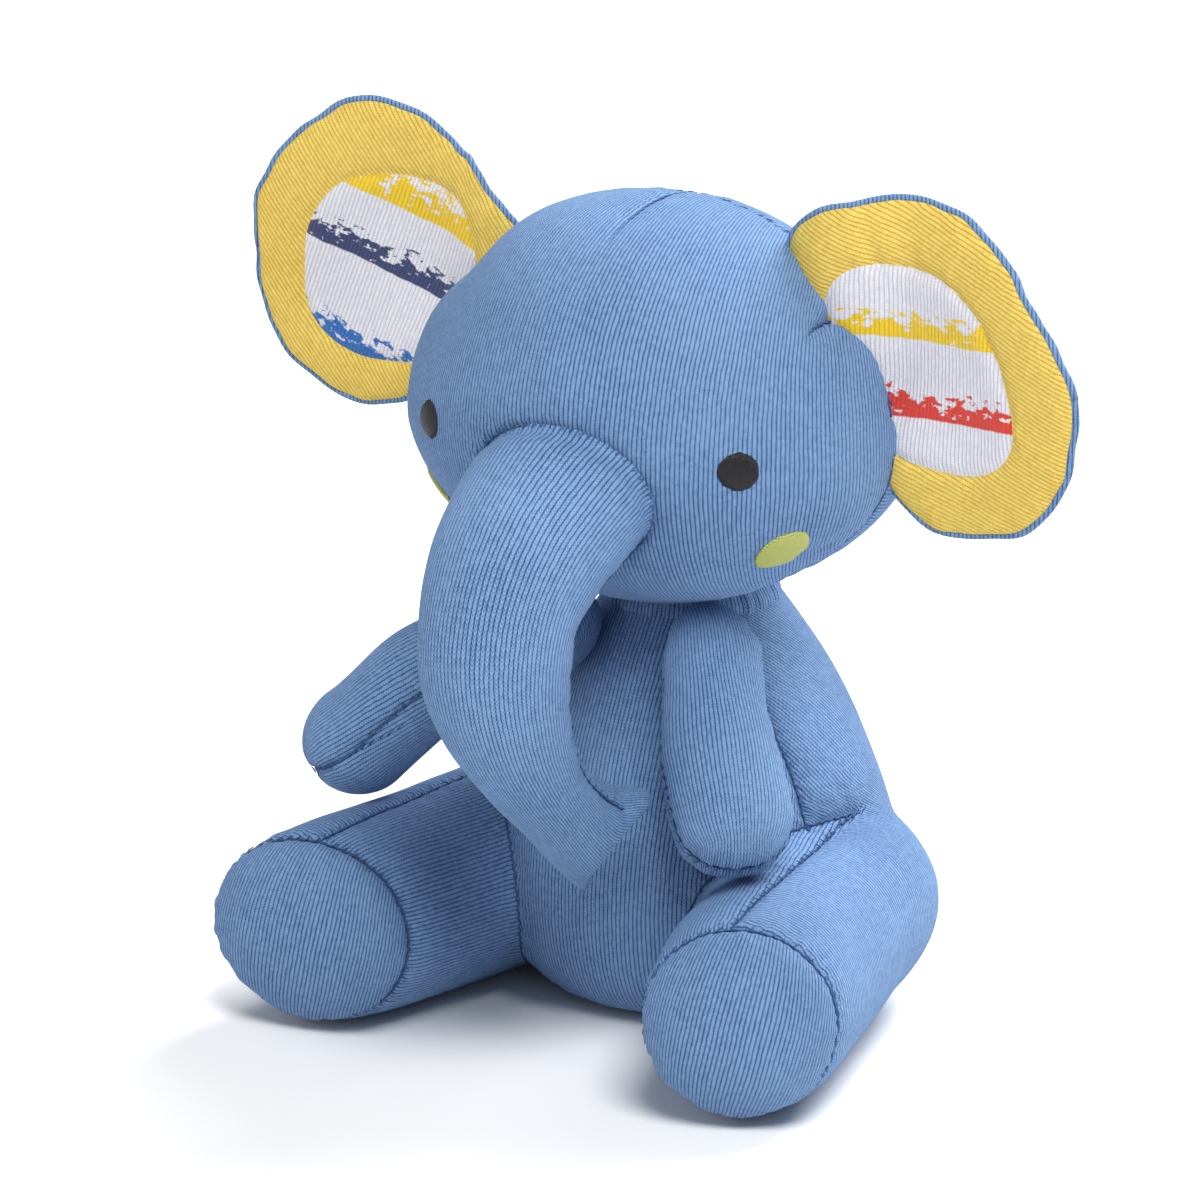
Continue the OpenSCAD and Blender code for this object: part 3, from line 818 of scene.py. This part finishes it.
def make_body():
    skin = voxel_shell("body_skin", [body_shell(), leg_shell(1), leg_shell(-1)])
    verts = verts_of(skin.data)
    weight = np.zeros(len(verts))
    for side in (1, -1):
        along, angle, r = leg_place(verts, side)
        outer = smooth(angle, TOP_TURN + 0.1, TOP_TURN + 0.9) * (verts[:, 0] * side > 0)
        near = bell(torso_far(verts) - (r - LEG_R), 13)
        weight = np.maximum(weight, 0.85 * outer * near * (along < 40) * smooth(verts[:, 2], 2, 8))
    verts = average_neighbours(verts, edges_of(skin.data), weight, 30)
    for side in (1, -1):
        hip = bell(np.linalg.norm((verts - HIP_FAT * [side, 1, 1]) / HIP_FAT_SIZE, axis=1), 1)
        verts = verts + np.outer(hip * 3.6, [side * 0.95, 0.3, 0]) * smooth(verts[:, 2], 0.5, 6)[:, None]
    verts = lumpy(skin, verts, [(26, 3.1, 0.7), (11, 8.0, 0.22)], 0.3, smooth(verts[:, 2], 1, 6))
    seams = body_seams()
    ends = (verts[:, 2] < 1.0) | (verts[:, 2] > BODY_H)
    verts, faces = upholster(skin, verts, seams, 1.6, 1.6, ends)
    bpy.data.objects.remove(skin)
    verts[:, 2] = np.maximum(verts[:, 2], 0.02)
    normals = vertex_normals(verts, faces)

    centres = face_mean(verts, faces)
    on_body = torso_far(centres)
    radius = np.hypot(centres[:, 0], centres[:, 1])
    round_angle = np.arctan2(centres[:, 0], -centres[:, 1])
    region = np.where(np.abs(round_angle) < side_seam_angle(centres[:, 2]), "belly",
                      np.where(round_angle > 0, "back_left", "back_right")).astype(object)
    for name, side in SIDES.items():
        along, angle, r = leg_place(centres, side)
        here = (centres[:, 0] * side > 0) & (r - leg_radius(along) < on_body) & (along > 0)
        top = np.interp(along, [0, LEG_LEN], [TOP_TURN + 0.1, SOLE_TOP_TURN])
        region[here & (angle < top)] = "inner_leg_" + name
        region[here & (angle >= top)] = "back_" + name
        region[here & (along - SOLE_SLOPE[side] * r * np.sin(angle) > LEG_LEN)] = "sole_" + name
    region[(centres[:, 2] < 0.9) & (radius < SEAT_R)] = "seat"

    turn = np.arctan2(verts[:, 0], -verts[:, 1])
    body_uv = np.stack([body_radius(verts[:, 2]) * turn, verts[:, 2]], axis=1)
    back_uv = np.stack([body_radius(verts[:, 2]) * (math.pi - np.abs(turn)), verts[:, 2]], axis=1)
    panels = [("belly", body_uv, ["belly_panel", "body_stuffing"]), ("seat", verts[:, :2], ["seat_panel"])]
    for name, side in SIDES.items():
        along, angle, r = leg_place(verts, side)
        leg_uv = np.stack([angle * LEG_R, along], axis=1)
        side_uv = np.stack([along + KNIT_RUNS_ON, LEG_R + (math.pi / 2 - angle) * LEG_R], axis=1)
        share = smooth(torso_far(verts) - (r - LEG_R), -6, 10)[:, None]
        hip, direction, _ = leg_frame(side)
        facing = sole_facing(side)
        right = unit(np.cross(facing, [0, 0, 1]))
        rel = verts - hip - direction * LEG_LEN
        x, z, fall = rel @ right, rel @ np.cross(right, facing), 7.0 - rel @ facing
        out = np.hypot(x, z)
        spread = 1 + 0.9 * np.clip(fall, 0, 12) / np.maximum(out, 8) * smooth(out, 6, 18)
        sole_uv = np.stack([x * 0.97 + z * 0.22, z * 0.97 - x * 0.22], axis=1) * spread[:, None]
        panels += [("inner_leg_" + name, leg_uv, ["inner_leg_" + name]),
                   ("back_" + name, back_uv * (1 - share) + side_uv * share,
                    ["back_panel_" + name, "outer_leg_" + name, "leg_stuffing_" + name]),
                   ("sole_" + name, sole_uv, ["sole_" + name])]
    cut_rigid("torso", verts, faces, region, normals, panels)
    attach(sew("body_stitches_and_groove_shade", seams, 11), "torso")


# ---------------------------------------------------------------- head

def head_point(direction):
    """A point of the head form in a direction from its middle."""
    d = unit(direction)
    scale = 1 / np.sqrt((d[:, 0] / HEAD_W) ** 2 + (d[:, 1] / HEAD_R) ** 2 + (d[:, 2] / HEAD_R) ** 2)
    p = d * scale[:, None]
    front = smooth(-p[:, 1], 0, HEAD_R * 0.8)
    side = np.abs(p[:, 0]) / HEAD_W
    p[:, 1] += front * 9.5 * side ** 2 * (1 - 0.45 * side)
    cheek = np.exp(-(((side - 0.86) / 0.28) ** 2 + ((p[:, 2] + 6) / 15) ** 2))
    temple = np.exp(-(((side - 0.80) / 0.2) ** 2 + ((p[:, 2] - 26) / 11) ** 2 + ((p[:, 1] + 2) / 18) ** 2))
    p += unit(p) * (cheek * 3.6 - temple * 2.6)[:, None]
    low = smooth(-p[:, 2], HEAD_R * 0.55, HEAD_R)
    p[:, 2] += low * 1.2
    return HEAD_C + p


def head_turned(angle, x):
    """A direction on the head: angle from straight ahead over the crown, x as a share of the half width."""
    angle, x = np.broadcast_arrays(np.asarray(angle, float), np.asarray(x, float))
    ring = np.sqrt(np.maximum(1 - x ** 2, 0))
    return np.stack([x * HEAD_W, -HEAD_R * ring * np.cos(angle), HEAD_R * ring * np.sin(angle)], axis=-1)


def flat_map(points, centre, up):
    """Unrolls the skin round a centre direction, so that the knit runs straight there."""
    rel = (points - HEAD_C) / [HEAD_W, HEAD_R, HEAD_R]
    rel = unit(rel)
    centre = unit(np.array(centre, float))
    right = unit(np.cross(centre, up))
    upward = np.cross(right, centre)
    a, b, c = rel @ right, rel @ upward, np.clip(rel @ centre, -1, 1)
    angle = np.arccos(c)
    flat = np.maximum(np.hypot(a, b), 1e-6)
    return np.stack([a / flat * angle * 44, b / flat * angle * 41], axis=1)


TRUNK_CURVE = [TRUNK_ROOT + [0, 6, 0], TRUNK_ROOT + [-1, -35, -11],
               TRUNK_ROOT + [0.5, -28, -43], TRUNK_ROOT + [10, -3, -64.5]]
UNDER_TURN = math.radians(125)


def trunk_radius(t):
    t = np.asarray(t, float)
    wide = 17.2 + (15.0 - 17.2) * smooth(t, 0.0, 0.45)
    return wide + (8.6 - 15.0) * smooth(t, 0.42, 0.95)


def trunk_point(t, angle):
    t, angle = np.broadcast_arrays(np.asarray(t, float), np.asarray(angle, float))
    shape = t.shape
    t, angle = t.ravel(), angle.ravel()
    middle = bezier(TRUNK_CURVE, t)
    tangent = bezier_dir(TRUNK_CURVE, t)
    front = unit(np.cross([-1, 0, 0], tangent))
    side = np.cross(front, tangent)
    r = trunk_radius(t)
    wide = 1 + 0.10 * (1 - smooth(t, 0.05, 0.5)) - 0.12 * smooth(t, 0.85, 1)
    deep = 1 - 0.12 * (1 - smooth(t, 0.05, 0.5)) + 0.20 * smooth(t, 0.85, 1)
    p = middle + r[:, None] * ((deep * np.cos(angle))[:, None] * front + (wide * np.sin(angle))[:, None] * side)
    return p.reshape(shape + (3,))


def head_depth(p):
    """How far outside the head form each point is, roughly."""
    d = p - HEAD_C
    return np.linalg.norm(d, axis=-1) - np.linalg.norm(head_point(d.reshape(-1, 3)).reshape(d.shape) - HEAD_C, axis=-1)


def trunk_root_line():
    return np.array([meeting(lambda t: trunk_point(t, angle), head_depth, 0.0, 0.6)
                     for angle in np.linspace(-math.pi, math.pi, 90)])


# where the head's seams run, in degrees from straight ahead over the crown
EAR_SEAM, NAPE, THROAT = 107, 253, 272


def make_head():
    a = circle(80)
    rings = [np.stack([np.full(80, math.sin(b)), -math.cos(b) * np.cos(a), math.cos(b) * np.sin(a)], axis=1)
             for b in np.radians(np.linspace(-89, 89, 60))]
    skin = voxel_shell("head_skin", [stack([head_point(ring * [HEAD_W, HEAD_R, HEAD_R]) for ring in rings])])
    verts = lumpy(skin, verts_of(skin.data), [(30, 5.5, 0.8), (12, 1.0, 0.2)], 0.8)

    seams = Seams()
    x = np.linspace(-0.995, 0.995, 110)
    seams.add(head_point(head_turned(math.radians(EAR_SEAM), x)), 0.9)
    seams.add(head_point(head_turned(math.radians(THROAT - 360), x)), 0.6, ladder=False)
    turn = np.radians(np.linspace(EAR_SEAM, NAPE, 60))
    seams.add(head_point(head_turned(turn, 0 * turn)), 0.9)
    # the darts keep their dark running thread, which also paints the shade line of each dart's crease
    turn = np.radians(np.linspace(106, 62, 30))
    fade = np.linspace(1.0, 0.1, 30) ** 0.8
    seams.add(head_point(head_turned(turn, 0 * turn + 0.002)), fade, ladder=False, width=1.2)
    for side in (1, -1):
        share = np.linspace(0, 1, 24)
        dart = head_turned(np.radians(106 - 46 * share), side * (0.83 - 0.03 * share))
        seams.add(head_point(dart), 2.4 * (1 - share) ** 0.8, ladder=False, width=1.1)
        low = head_turned(np.radians(-70 + 26 * share), side * (0.83 - 0.1 * share))
        seams.add(head_point(low), np.linspace(0.7, 0, 24), thread_and_shade_line=False, ladder=False, width=1.5)
    seams.add(trunk_root_line(), 0.95)

    verts, faces = upholster(skin, verts, seams, 1.6, 1.7, shallow=0.4)
    bpy.data.objects.remove(skin)
    normals = vertex_normals(verts, faces)
    centres = face_mean(verts, faces)
    rel = centres - HEAD_C
    turn = np.degrees(np.arctan2(rel[:, 2], -rel[:, 1])) % 360
    sides = np.where(centres[:, 0] >= 0, "head_back_left", "head_back_right")
    region = np.where((turn < EAR_SEAM) | (turn > THROAT), "face", np.where(turn > NAPE, "chin", sides))
    panels = [("face", flat_map(verts, (0, -1, 0.15), (0, 0, 1)), ["face_panel", "head_stuffing"]),
              ("chin", flat_map(verts, (0, -0.5, -1), (0, 1, 0.2)), ["chin_panel"])]
    for name, side in SIDES.items():
        back_uv = flat_map(verts, (side * 0.5, 1, 0.1), (0, 0, 1))
        panels.append(("head_back_" + name, back_uv, ["head_back_" + name]))
    cut_rigid("head", verts, faces, region, normals, panels)
    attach(sew("head_stitches_and_groove_shade", seams, 12), "head")
    return verts, faces


# ---------------------------------------------------------------- embroidery

def embroider(name, material, tree, centre, half_long, half_wide, tilt, lay, pitch, seed,
              point=0.0):
    """A filled shape of satin stitches laid side by side on the skin."""
    random = np.random.default_rng(seed)
    near, normal, _, _ = tree.find_nearest(Vector(centre * MM))
    origin, normal = np.array(near) / MM, unit(np.array(normal))
    right = unit(np.cross([0, 0, 1], normal))
    up = np.cross(normal, right)
    long_axis = math.cos(tilt) * right + math.sin(tilt) * up
    wide_axis = -math.sin(tilt) * right + math.cos(tilt) * up
    along = math.cos(lay) * right + math.sin(lay) * up
    across = -math.sin(lay) * right + math.cos(lay) * up
    shells = []
    reach = max(half_long, half_wide) * 1.4
    for layer in range(2):
        for offset in np.arange(-reach, reach, pitch) + layer * pitch / 2:
            s = np.linspace(-reach, reach, 241)
            flat = s[:, None] * along + offset * across
            a, b = flat @ long_axis / half_long, flat @ wide_axis / half_wide
            inside = (np.abs(a) ** 2 + (np.abs(b) * (1 + point * np.maximum(-a, 0))) ** 2) < 1
            if inside.sum() < 6:
                continue
            low, high = s[inside][0], s[inside][-1]
            low -= random.uniform(-0.12, 0.22)
            high += random.uniform(-0.12, 0.22)
            run = np.linspace(low, high, 14)
            skew = random.uniform(-0.10, 0.10)
            path = []
            for k in run:
                p = origin + k * along + (offset + skew * k / reach) * across
                q, n, _, _ = tree.find_nearest(Vector(p * MM))
                rise = 0.62 * (1 - min(1.0, ((k / reach) ** 2 + (offset / reach) ** 2) * 1.5)) + 0.12
                edge = min(1.0, (k - low + 0.05) / 0.7, (high - k + 0.05) / 0.7)
                lift = rise * edge - 0.12 - 0.12 * layer + random.uniform(-0.02, 0.02)
                path.append(np.array(q) / MM + np.array(n) * lift)
            shells.append(tube_along(np.array(path), pitch * 0.62, 6, normal))
    obj = new_object(name, *merge_shells(shells))
    co = verts_of(obj.data) - origin
    finish_piece(obj, material, np.stack([co @ across, co @ along], axis=1))
    return obj


def make_face(verts, faces):
    tree = BVHTree.FromPolygons((verts * MM).tolist(), faces)
    for name, side in SIDES.items():
        eye_low, eye_high = box_mm("eye_" + name)
        eye = embroider("eye_%s_thread" % name, BLACK_THREAD, tree, (eye_low + eye_high) / 2,
                        3.8, 3.6, 0.0, math.radians(72 if side == 1 else 108), 0.27, 21 + side, 0.16)
        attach(eye, "head")
        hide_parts("eye_" + name)
        low, high = box_mm("cheek_" + name)
        cheek = embroider("cheek_%s_thread" % name, GREEN_THREAD, tree, (low + high) / 2,
                          6.0, 4.2, math.radians(64 * side), math.radians(90 - 8 * side), 0.3, 31 + side)
        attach(cheek, "head")
        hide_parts("cheek_" + name)


# ---------------------------------------------------------------- trunk

# how far along its curve the trunk reaches, and how far its mouth is turned round it
TRUNK_TIP, MOUTH_TURN = 0.985, 0.56


def make_trunk():
    sides, rows = 40, 60
    angles = circle(sides)
    rings = [trunk_point(np.full(sides, t), angles) for t in np.linspace(-0.02, TRUNK_TIP, rows)]
    tangent = bezier_dir(TRUNK_CURVE, [1.0])[0]
    middle = bezier(TRUNK_CURVE, [TRUNK_TIP])[0]
    rim = rings[-1] - middle
    front = unit(np.cross([-1, 0, 0], tangent))
    opening = angles + MOUTH_TURN
    lobes = 0.12 + 0.88 * np.abs(np.cos(opening)) ** 2.4
    ahead = math.cos(MOUTH_TURN) * front - math.sin(MOUTH_TURN) * np.cross(front, tangent)
    lean = np.where((np.cos(opening) < 0)[:, None], unit(tangent - 0.6 * ahead), unit(tangent + 0.05 * ahead))
    for b in np.radians(np.linspace(8, 88, 12)):
        inward = math.sin(b)
        height = lobes * 7.2 * math.sin(math.pi * min(1.0, inward * 0.995)) ** 0.7
        shrink = 1 - inward ** 1.9 * 0.98 + 0.10 * lobes * math.sin(math.pi * inward)
        rings.append(middle + rim * shrink[:, None] + lean * height[:, None])
    skin = new_object("trunk_skin", *stack(rings))
    turn_outward(skin)
    place_t = np.repeat(np.linspace(0, 1, len(rings)), sides)
    waves = [(20, 2.5, 0.55), (9, 7.0, 0.18)]
    verts = lumpy(skin, verts_of(skin.data), waves, 0.6, smooth(place_t, 0.02, 0.1))
    seams = Seams()
    for side in (1, -1):
        t = np.linspace(0.04, TRUNK_TIP, 80)
        seams.add(trunk_point(t, np.full(80, side * UNDER_TURN)), 0.85)
    # each point keeps its place round the trunk and along it, for the Grain map
    centres = np.array([ring.mean(0) for ring in rings])
    length = np.concatenate([[0], np.cumsum(np.linalg.norm(np.diff(centres, axis=0), axis=1))])
    turn_xyz = np.stack([np.tile(np.cos(angles), len(rings)), np.tile(np.sin(angles), len(rings)),
                         np.repeat(length, sides)], axis=1)
    skin.data.attributes.new("flow", "FLOAT_VECTOR", "POINT")
    skin.data.attributes["flow"].data.foreach_set("vector", turn_xyz.astype(np.float32).ravel())
    verts, faces = upholster(skin, verts, seams, 1.3, 1.3, place_t < 0.05)
    flow = np.empty(len(verts) * 3, np.float32)
    skin.data.attributes["flow"].data.foreach_get("vector", flow)
    flow = flow.reshape(-1, 3)
    bpy.data.objects.remove(skin)
    root = point_tree(trunk_root_line())
    pull = np.array([root.find(p)[2] for p in verts.tolist()])
    verts = verts - vertex_normals(verts, faces) * (0.9 * bell(pull, 2.2))[:, None]
    normals = vertex_normals(verts, faces)
    angle = np.arctan2(flow[:, 1], flow[:, 0])
    top_uv = np.stack([angle * 14, flow[:, 2]], axis=1)
    under_uv = np.stack([np.arctan2(-flow[:, 1], -flow[:, 0]) * 14, flow[:, 2]], axis=1)
    cells = face_mean(np.abs(angle) > UNDER_TURN, faces) > 0.5
    top = cut_piece("trunk_top_knit", verts, faces, ~cells, top_uv, normals)
    below = cut_piece("trunk_under_knit", verts, faces, cells, under_uv, normals)
    stitches = sew("trunk_stitches_and_groove_shade", seams, 13)
    for obj in (top, below, stitches):
        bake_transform(obj)
    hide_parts("trunk_top_panel", "trunk_stuffing")
    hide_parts("trunk_under_panel")


# ---------------------------------------------------------------- ears

EAR_TURN = math.radians(11)


def ear_place(side):
    """Ear plane: a point on its axis, then outward, forward and up."""
    outward = np.array([side * math.cos(EAR_TURN), -math.sin(EAR_TURN), 0])
    forward = np.array([-side * math.sin(EAR_TURN), -math.cos(EAR_TURN), 0])
    low, high = box_mm("ear_back_left" if side == 1 else "ear_back_right")
    seam_x = HEAD_W * 0.8
    seam_y = HEAD_C[1] + HEAD_R * 0.6 * math.sin(math.radians(17))
    origin = np.array([side * seam_x, seam_y, (low[2] + high[2]) / 2 - 1])
    return origin, outward, forward, np.array([0, 0, 1.0])


def ear_outline(theta, side):
    """Radius of the ear at an angle from outward, counted upward: a shape with seven soft sides."""
    if side == 1:
        flats = ((0, 31.5), (45, 25.0), (95, 30.5), (150, 38.0), (213, 20.0), (268, 31.0), (318, 33.5))
    else:
        flats = ((0, 31.0), (45, 32.0), (88, 32.0), (132, 25.0), (185, 30.0), (235, 23.0), (275, 30.5), (320, 33.0))
    power = 8.0
    total = 0.0
    for angle, distance in flats:
        total = total + (np.maximum(np.cos(theta - math.radians(angle)), 0) / distance) ** power
    r = total ** (-1 / power)
    return r + 0.28 * np.sin(7 * theta + side) + 0.2 * np.sin(13 * theta + 2 * side) + 0.12 * np.sin(23 * theta)


def print_outline(theta, side):
    """Radius of the printed panel, from the middle of the ear."""
    shift_x, shift_z, shear = (-2.5, -0.5, 0.35) if side == 1 else (2.0, -1.5, 0.08)
    wide, tall, power = (18.2, 18.6, 2.4) if side == 1 else (18.4, 18.4, 2.5)
    r = np.full(np.shape(theta), 15.0)
    for _ in range(12):
        z = r * np.sin(theta) - shift_z
        x = r * np.cos(theta) - shift_x + shear * z
        r = r / (np.abs(x / wide) ** power + np.abs(z / tall) ** power) ** (1 / power)
    return r + 0.12 * np.sin(9 * theta)


def make_ear(name, side):
    origin, outward, forward, up = ear_place(side)
    middle = origin + outward * 19.5 + up * (-0.5 if side == 1 else 0.0)
    count, steps = 120, 34
    theta = np.linspace(0, 2 * math.pi, count + 1)[:-1]
    outline = ear_outline(theta, side)
    inner = print_outline(theta, side)
    inside_rows, border_rows = 14, 20
    random = np.random.default_rng(40 + side)
    phase = random.uniform(0, 6.28, 6)

    def layer(front):
        sign = 1 if front else -1
        rows = []
        for row in range(1, inside_rows + border_rows + 1):
            past = max(0.0, (row - inside_rows) / border_rows)
            r = inner * min(1.0, row / inside_rows) + (outline - inner) * (1 - (1 - past) ** 1.3)
            rho = r / outline
            x, z = r * np.cos(theta), r * np.sin(theta)
            d_in = r - inner
            body = np.sqrt(np.maximum(1 - rho ** 6, 0)) * 2.1
            y = sign * body
            if front:
                y = y - 0.6 * np.exp(-(d_in / 0.7) ** 2) - 0.3 * np.exp(-(d_in / 2.2) ** 2)
                y = y - 0.5 * smooth(-d_in, 0, 9)
                wrinkle = (np.sin(theta * 23 + phase[0]) + 0.7 * np.sin(theta * 37 + phase[1])
                           + 0.5 * np.sin(theta * 13 + phase[2]))
                y = y + 0.14 * wrinkle * np.exp(-((d_in - 1.8) / 2.2) ** 2)
            wave = (np.sin(theta * 19 + phase[3]) + 0.8 * np.sin(theta * 31 + phase[4])
                    + 0.6 * np.sin(theta * 11 + phase[5]))
            y = y + sign * 0.2 * wave * np.exp(-((outline - r - 1.6) / 1.9) ** 2)
            cup = 0.7 * np.sin(theta * 2 + 0.6 * side) * rho ** 2 + 0.5 * np.sin(theta * 3 + phase[2]) * rho ** 3
            base = (1 - smooth(x, -24, -6)) * 6.5 + np.exp(-((x + 9) / 12) ** 2) * smooth(-2 - z, 0, 17) * 3.0
            away = np.abs((x + 14) + 0.22 * (z - 21))
            fold = (0.5 * bell(away - 2.4, 1.6) - 0.9 * bell(away, 1.1)) * smooth(z, 14, 20)
            y = y + (fold if front else fold * 0.6)
            rows.append(middle + x[:, None] * outward + z[:, None] * up + (y + cup + base)[:, None] * forward)
        return rows

    front_rows, back_rows = layer(True), layer(False)
    centre_front = front_rows[0].mean(0)
    centre_back = back_rows[0].mean(0)
    seam_edge = (front_rows[-1] + back_rows[-1]) / 2

    def sheet(rows, centre, front):
        verts = np.vstack([centre[None]] + rows)
        faces = []
        for i in range(count):
            j = (i + 1) % count
            faces.append((0, 1 + i, 1 + j))
        for k in range(len(rows) - 1):
            for i in range(count):
                j = (i + 1) % count
                a, b = 1 + k * count + i, 1 + k * count + j
                faces.append((a, a + count, b + count, b))
        if (side == 1) != front:
            faces = [f[::-1] for f in faces]
        return verts, [f[::-1] for f in faces]

    def plane_uv(verts, turn):
        rel = verts - middle
        x, z = rel @ outward * side, rel @ up
        c, s = math.cos(turn), math.sin(turn)
        return np.stack([x * c + z * s, z * c - x * s], axis=1)

    obj = new_object("ear_front_all", *sheet(front_rows, centre_front, True))
    verts, faces = taken(subdivided(obj, 1))
    normals = vertex_normals(verts, faces)
    rel = verts - middle
    x, z = rel @ outward, rel @ up
    inside = np.hypot(x, z) / print_outline(np.arctan2(z, x), side)
    cells = face_mean(inside, faces) < 1.0
    border_turn, print_turn = (-110, 2) if side == 1 else (35, -20)
    border = cut_piece("ear_front_%s_knit" % name, verts, faces, ~cells,
                       plane_uv(verts, math.radians(border_turn)), normals, YELLOW)
    insert = cut_piece("ear_print_%s_knit" % name, verts, faces, cells,
                       plane_uv(verts, math.radians(print_turn)), normals,
                       PRINT_LEFT if side == 1 else PRINT_RIGHT)
    obj = new_object("ear_back_all", *sheet(back_rows, centre_back, False))
    verts, faces = taken(subdivided(obj, 1))
    back = cut_piece("ear_back_%s_knit" % name, verts, faces, np.ones(len(faces), bool), plane_uv(verts, 0.1),
                     vertex_normals(verts, faces))
    # the blue edge: the back cloth rolled just over the front, with its seam
    roll = []
    for i in range(count + 1):
        k = i % count
        away = unit(seam_edge[k] - middle)
        roll.append(seam_edge[k] + away * 0.25 - forward * 0.35)
    thick = 0.72 + 0.05 * np.sin(np.arange(count + 1) * 1.3)
    rim = new_object("ear_rim_%s_knit" % name, *tube_along(np.array(roll), thick, 8, forward))
    finish_piece(rim, BLUE)
    seams = Seams()
    ring = front_rows[inside_rows - 1]
    inner_ring = np.vstack([ring, ring[:1]])
    seams.add(inner_ring - forward * 0.1, 0.35, ladder=False)
    for line in seams.lines:
        line["normals"] = np.broadcast_to(forward, line["points"].shape).copy()
    stitches = sew("ear_stitches_" + name, seams, 50 + side, sunk=0.0)
    for piece in (border, insert, back, rim, stitches):
        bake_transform(piece)
    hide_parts("ear_front_" + name, "ear_wadding_" + name)
    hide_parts("ear_print_" + name)
    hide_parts("ear_back_" + name)


# ---------------------------------------------------------------- arms

HAND_R = 12.0
SHOULDER_R = 10.2


def make_arm(name, side):
    shoulder = joint_mm("arm_%s_lift" % name)
    hand = np.array([33, -42, 51.0]) if side == 1 else np.array([-51, -37, 50.0])
    axis = unit(hand - shoulder)
    length = np.linalg.norm(hand - shoulder)
    flat = unit(np.cross(axis, [0, 0, 1]))
    facing = unit(np.cross(flat, axis))
    sides, rings = 36, []
    angles = circle(sides)

    def ring(centre, r, squash=0.94):
        return centre + r * (np.cos(angles)[:, None] * flat + squash * np.sin(angles)[:, None] * facing)

    bend = np.array([0, -0.4, 3.2]) if side == -1 else np.array([-0.2, -1.0, 0.0])
    for b in np.radians(np.linspace(-86, -10, 7)):
        rings.append(ring(shoulder + axis * SHOULDER_R * 1.3 * math.sin(b), SHOULDER_R * math.cos(b)))
    for t in np.linspace(0, 1, 22):
        r = SHOULDER_R + (HAND_R - SHOULDER_R) * smooth(t, 0.05, 0.8)
        rings.append(ring(shoulder + axis * length * t + bend * 1.3 * math.sin(math.pi * t), r))
    for b in np.radians(np.linspace(9, 86, 10)):
        rings.append(ring(hand + axis * HAND_R * math.sin(b), HAND_R * math.cos(b) ** 0.9))
    skin = new_object("arm_skin", *stack(rings))
    turn_outward(skin)
    verts = lumpy(skin, verts_of(skin.data), [(14, 4.0 + side, 0.45)], 0.3)
    seams = Seams()
    path = [np.array([r[k] for r in rings[3:]]) for k in (0, sides // 2)]
    seams.add(np.vstack([path[0], path[1][::-1]]), 0.85)
    verts, faces = upholster(skin, verts, seams, 0.9, 1.2, pucker=0.2)
    bpy.data.objects.remove(skin)
    normals = vertex_normals(verts, faces)
    rel = verts - shoulder
    x, y, v = rel @ flat, rel @ facing, rel @ axis
    r = np.maximum(np.hypot(x, y), 1e-6)
    u = np.arcsin(np.clip(x / np.maximum(r, HAND_R * 0.7), -1, 1)) * HAND_R
    uv = np.stack([u, v], axis=1)
    cells = face_mean(y, faces) > 0
    front = cut_piece("arm_front_%s_knit" % name, verts, faces, cells, uv, normals)
    back = cut_piece("arm_back_%s_knit" % name, verts, faces, ~cells, uv, normals)
    stitches = sew("arm_stitches_and_groove_shade_" + name, seams, 60 + side)
    for obj in (front, back, stitches):
        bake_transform(obj)
    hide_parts("arm_front_" + name, "arm_stuffing_" + name)
    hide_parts("arm_back_" + name)


# ---------------------------------------------------------------- tail and neck

def make_tail():
    root = joint_mm("tail_wag")
    drop = math.radians(50)
    axis = np.array([0, math.cos(drop), -math.sin(drop)])
    length = 24
    t = np.linspace(0, 1, 26)
    middle = root + np.outer(t * length, axis) + np.outer(np.sin(t * math.pi) * 0.8, [0, 0.6, 0.6])
    rounded = 3.2 * np.sqrt(np.maximum(1 - ((t - 0.9) / 0.11) ** 2, 0.02))
    radius = np.concatenate([[2.4, 3.0], np.where(t < 0.9, 3.2 - 0.5 * np.sin(t * math.pi), rounded)])
    root_ring = np.array([root - axis * 4.5, root - axis * 2.5])
    obj = new_object("tail_knit", *tube_along(np.vstack([root_ring, middle]), radius, 20, np.array([1, 0, 0])))
    subdivided(obj, 1)
    turn_outward(obj)
    co = verts_of(obj.data) - root
    angle = np.arctan2(co[:, 0], co @ np.array([0, math.sin(drop), math.cos(drop)]))
    finish_piece(obj, BLUE, np.stack([angle * 3.2, co @ axis], axis=1))
    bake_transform(obj)
    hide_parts("tail_cover", "tail_stuffing")


def make_neck():
    """The gathered neck ring that joins the body to the head."""
    z = np.array([-3, -1.5, 0.0, 1.5, 3.0, 6.0, 9.0]) + BODY_H
    r = np.array([14.5, 17.0, 17.2, 16.6, 15.4, 14.0, 12.0])
    angles = circle(128)
    fold = 0.25 * np.sin(angles * 32) + 0.2 * np.sin(angles * 21 + 1)
    rings = [np.stack([(a + fold) * np.sin(angles), -(a + fold) * np.cos(angles), np.full(len(angles), b)], axis=1)
             for a, b in zip(r, z)]
    obj = new_object("neck_knit", *stack(rings))
    subdivided(obj, 1)
    turn_outward(obj)
    co = verts_of(obj.data)
    finish_piece(obj, BLUE, np.stack([np.arctan2(co[:, 0], -co[:, 1]) * 17, co[:, 2]], axis=1))
    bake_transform(obj)
    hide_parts("neck_stuffing")


make_camera()
make_stage()
make_body()
make_face(*make_head())
make_trunk()
for ear_name, ear_side in SIDES.items():
    make_ear(ear_name, ear_side)
    make_arm(ear_name, ear_side)
make_tail()
make_neck()
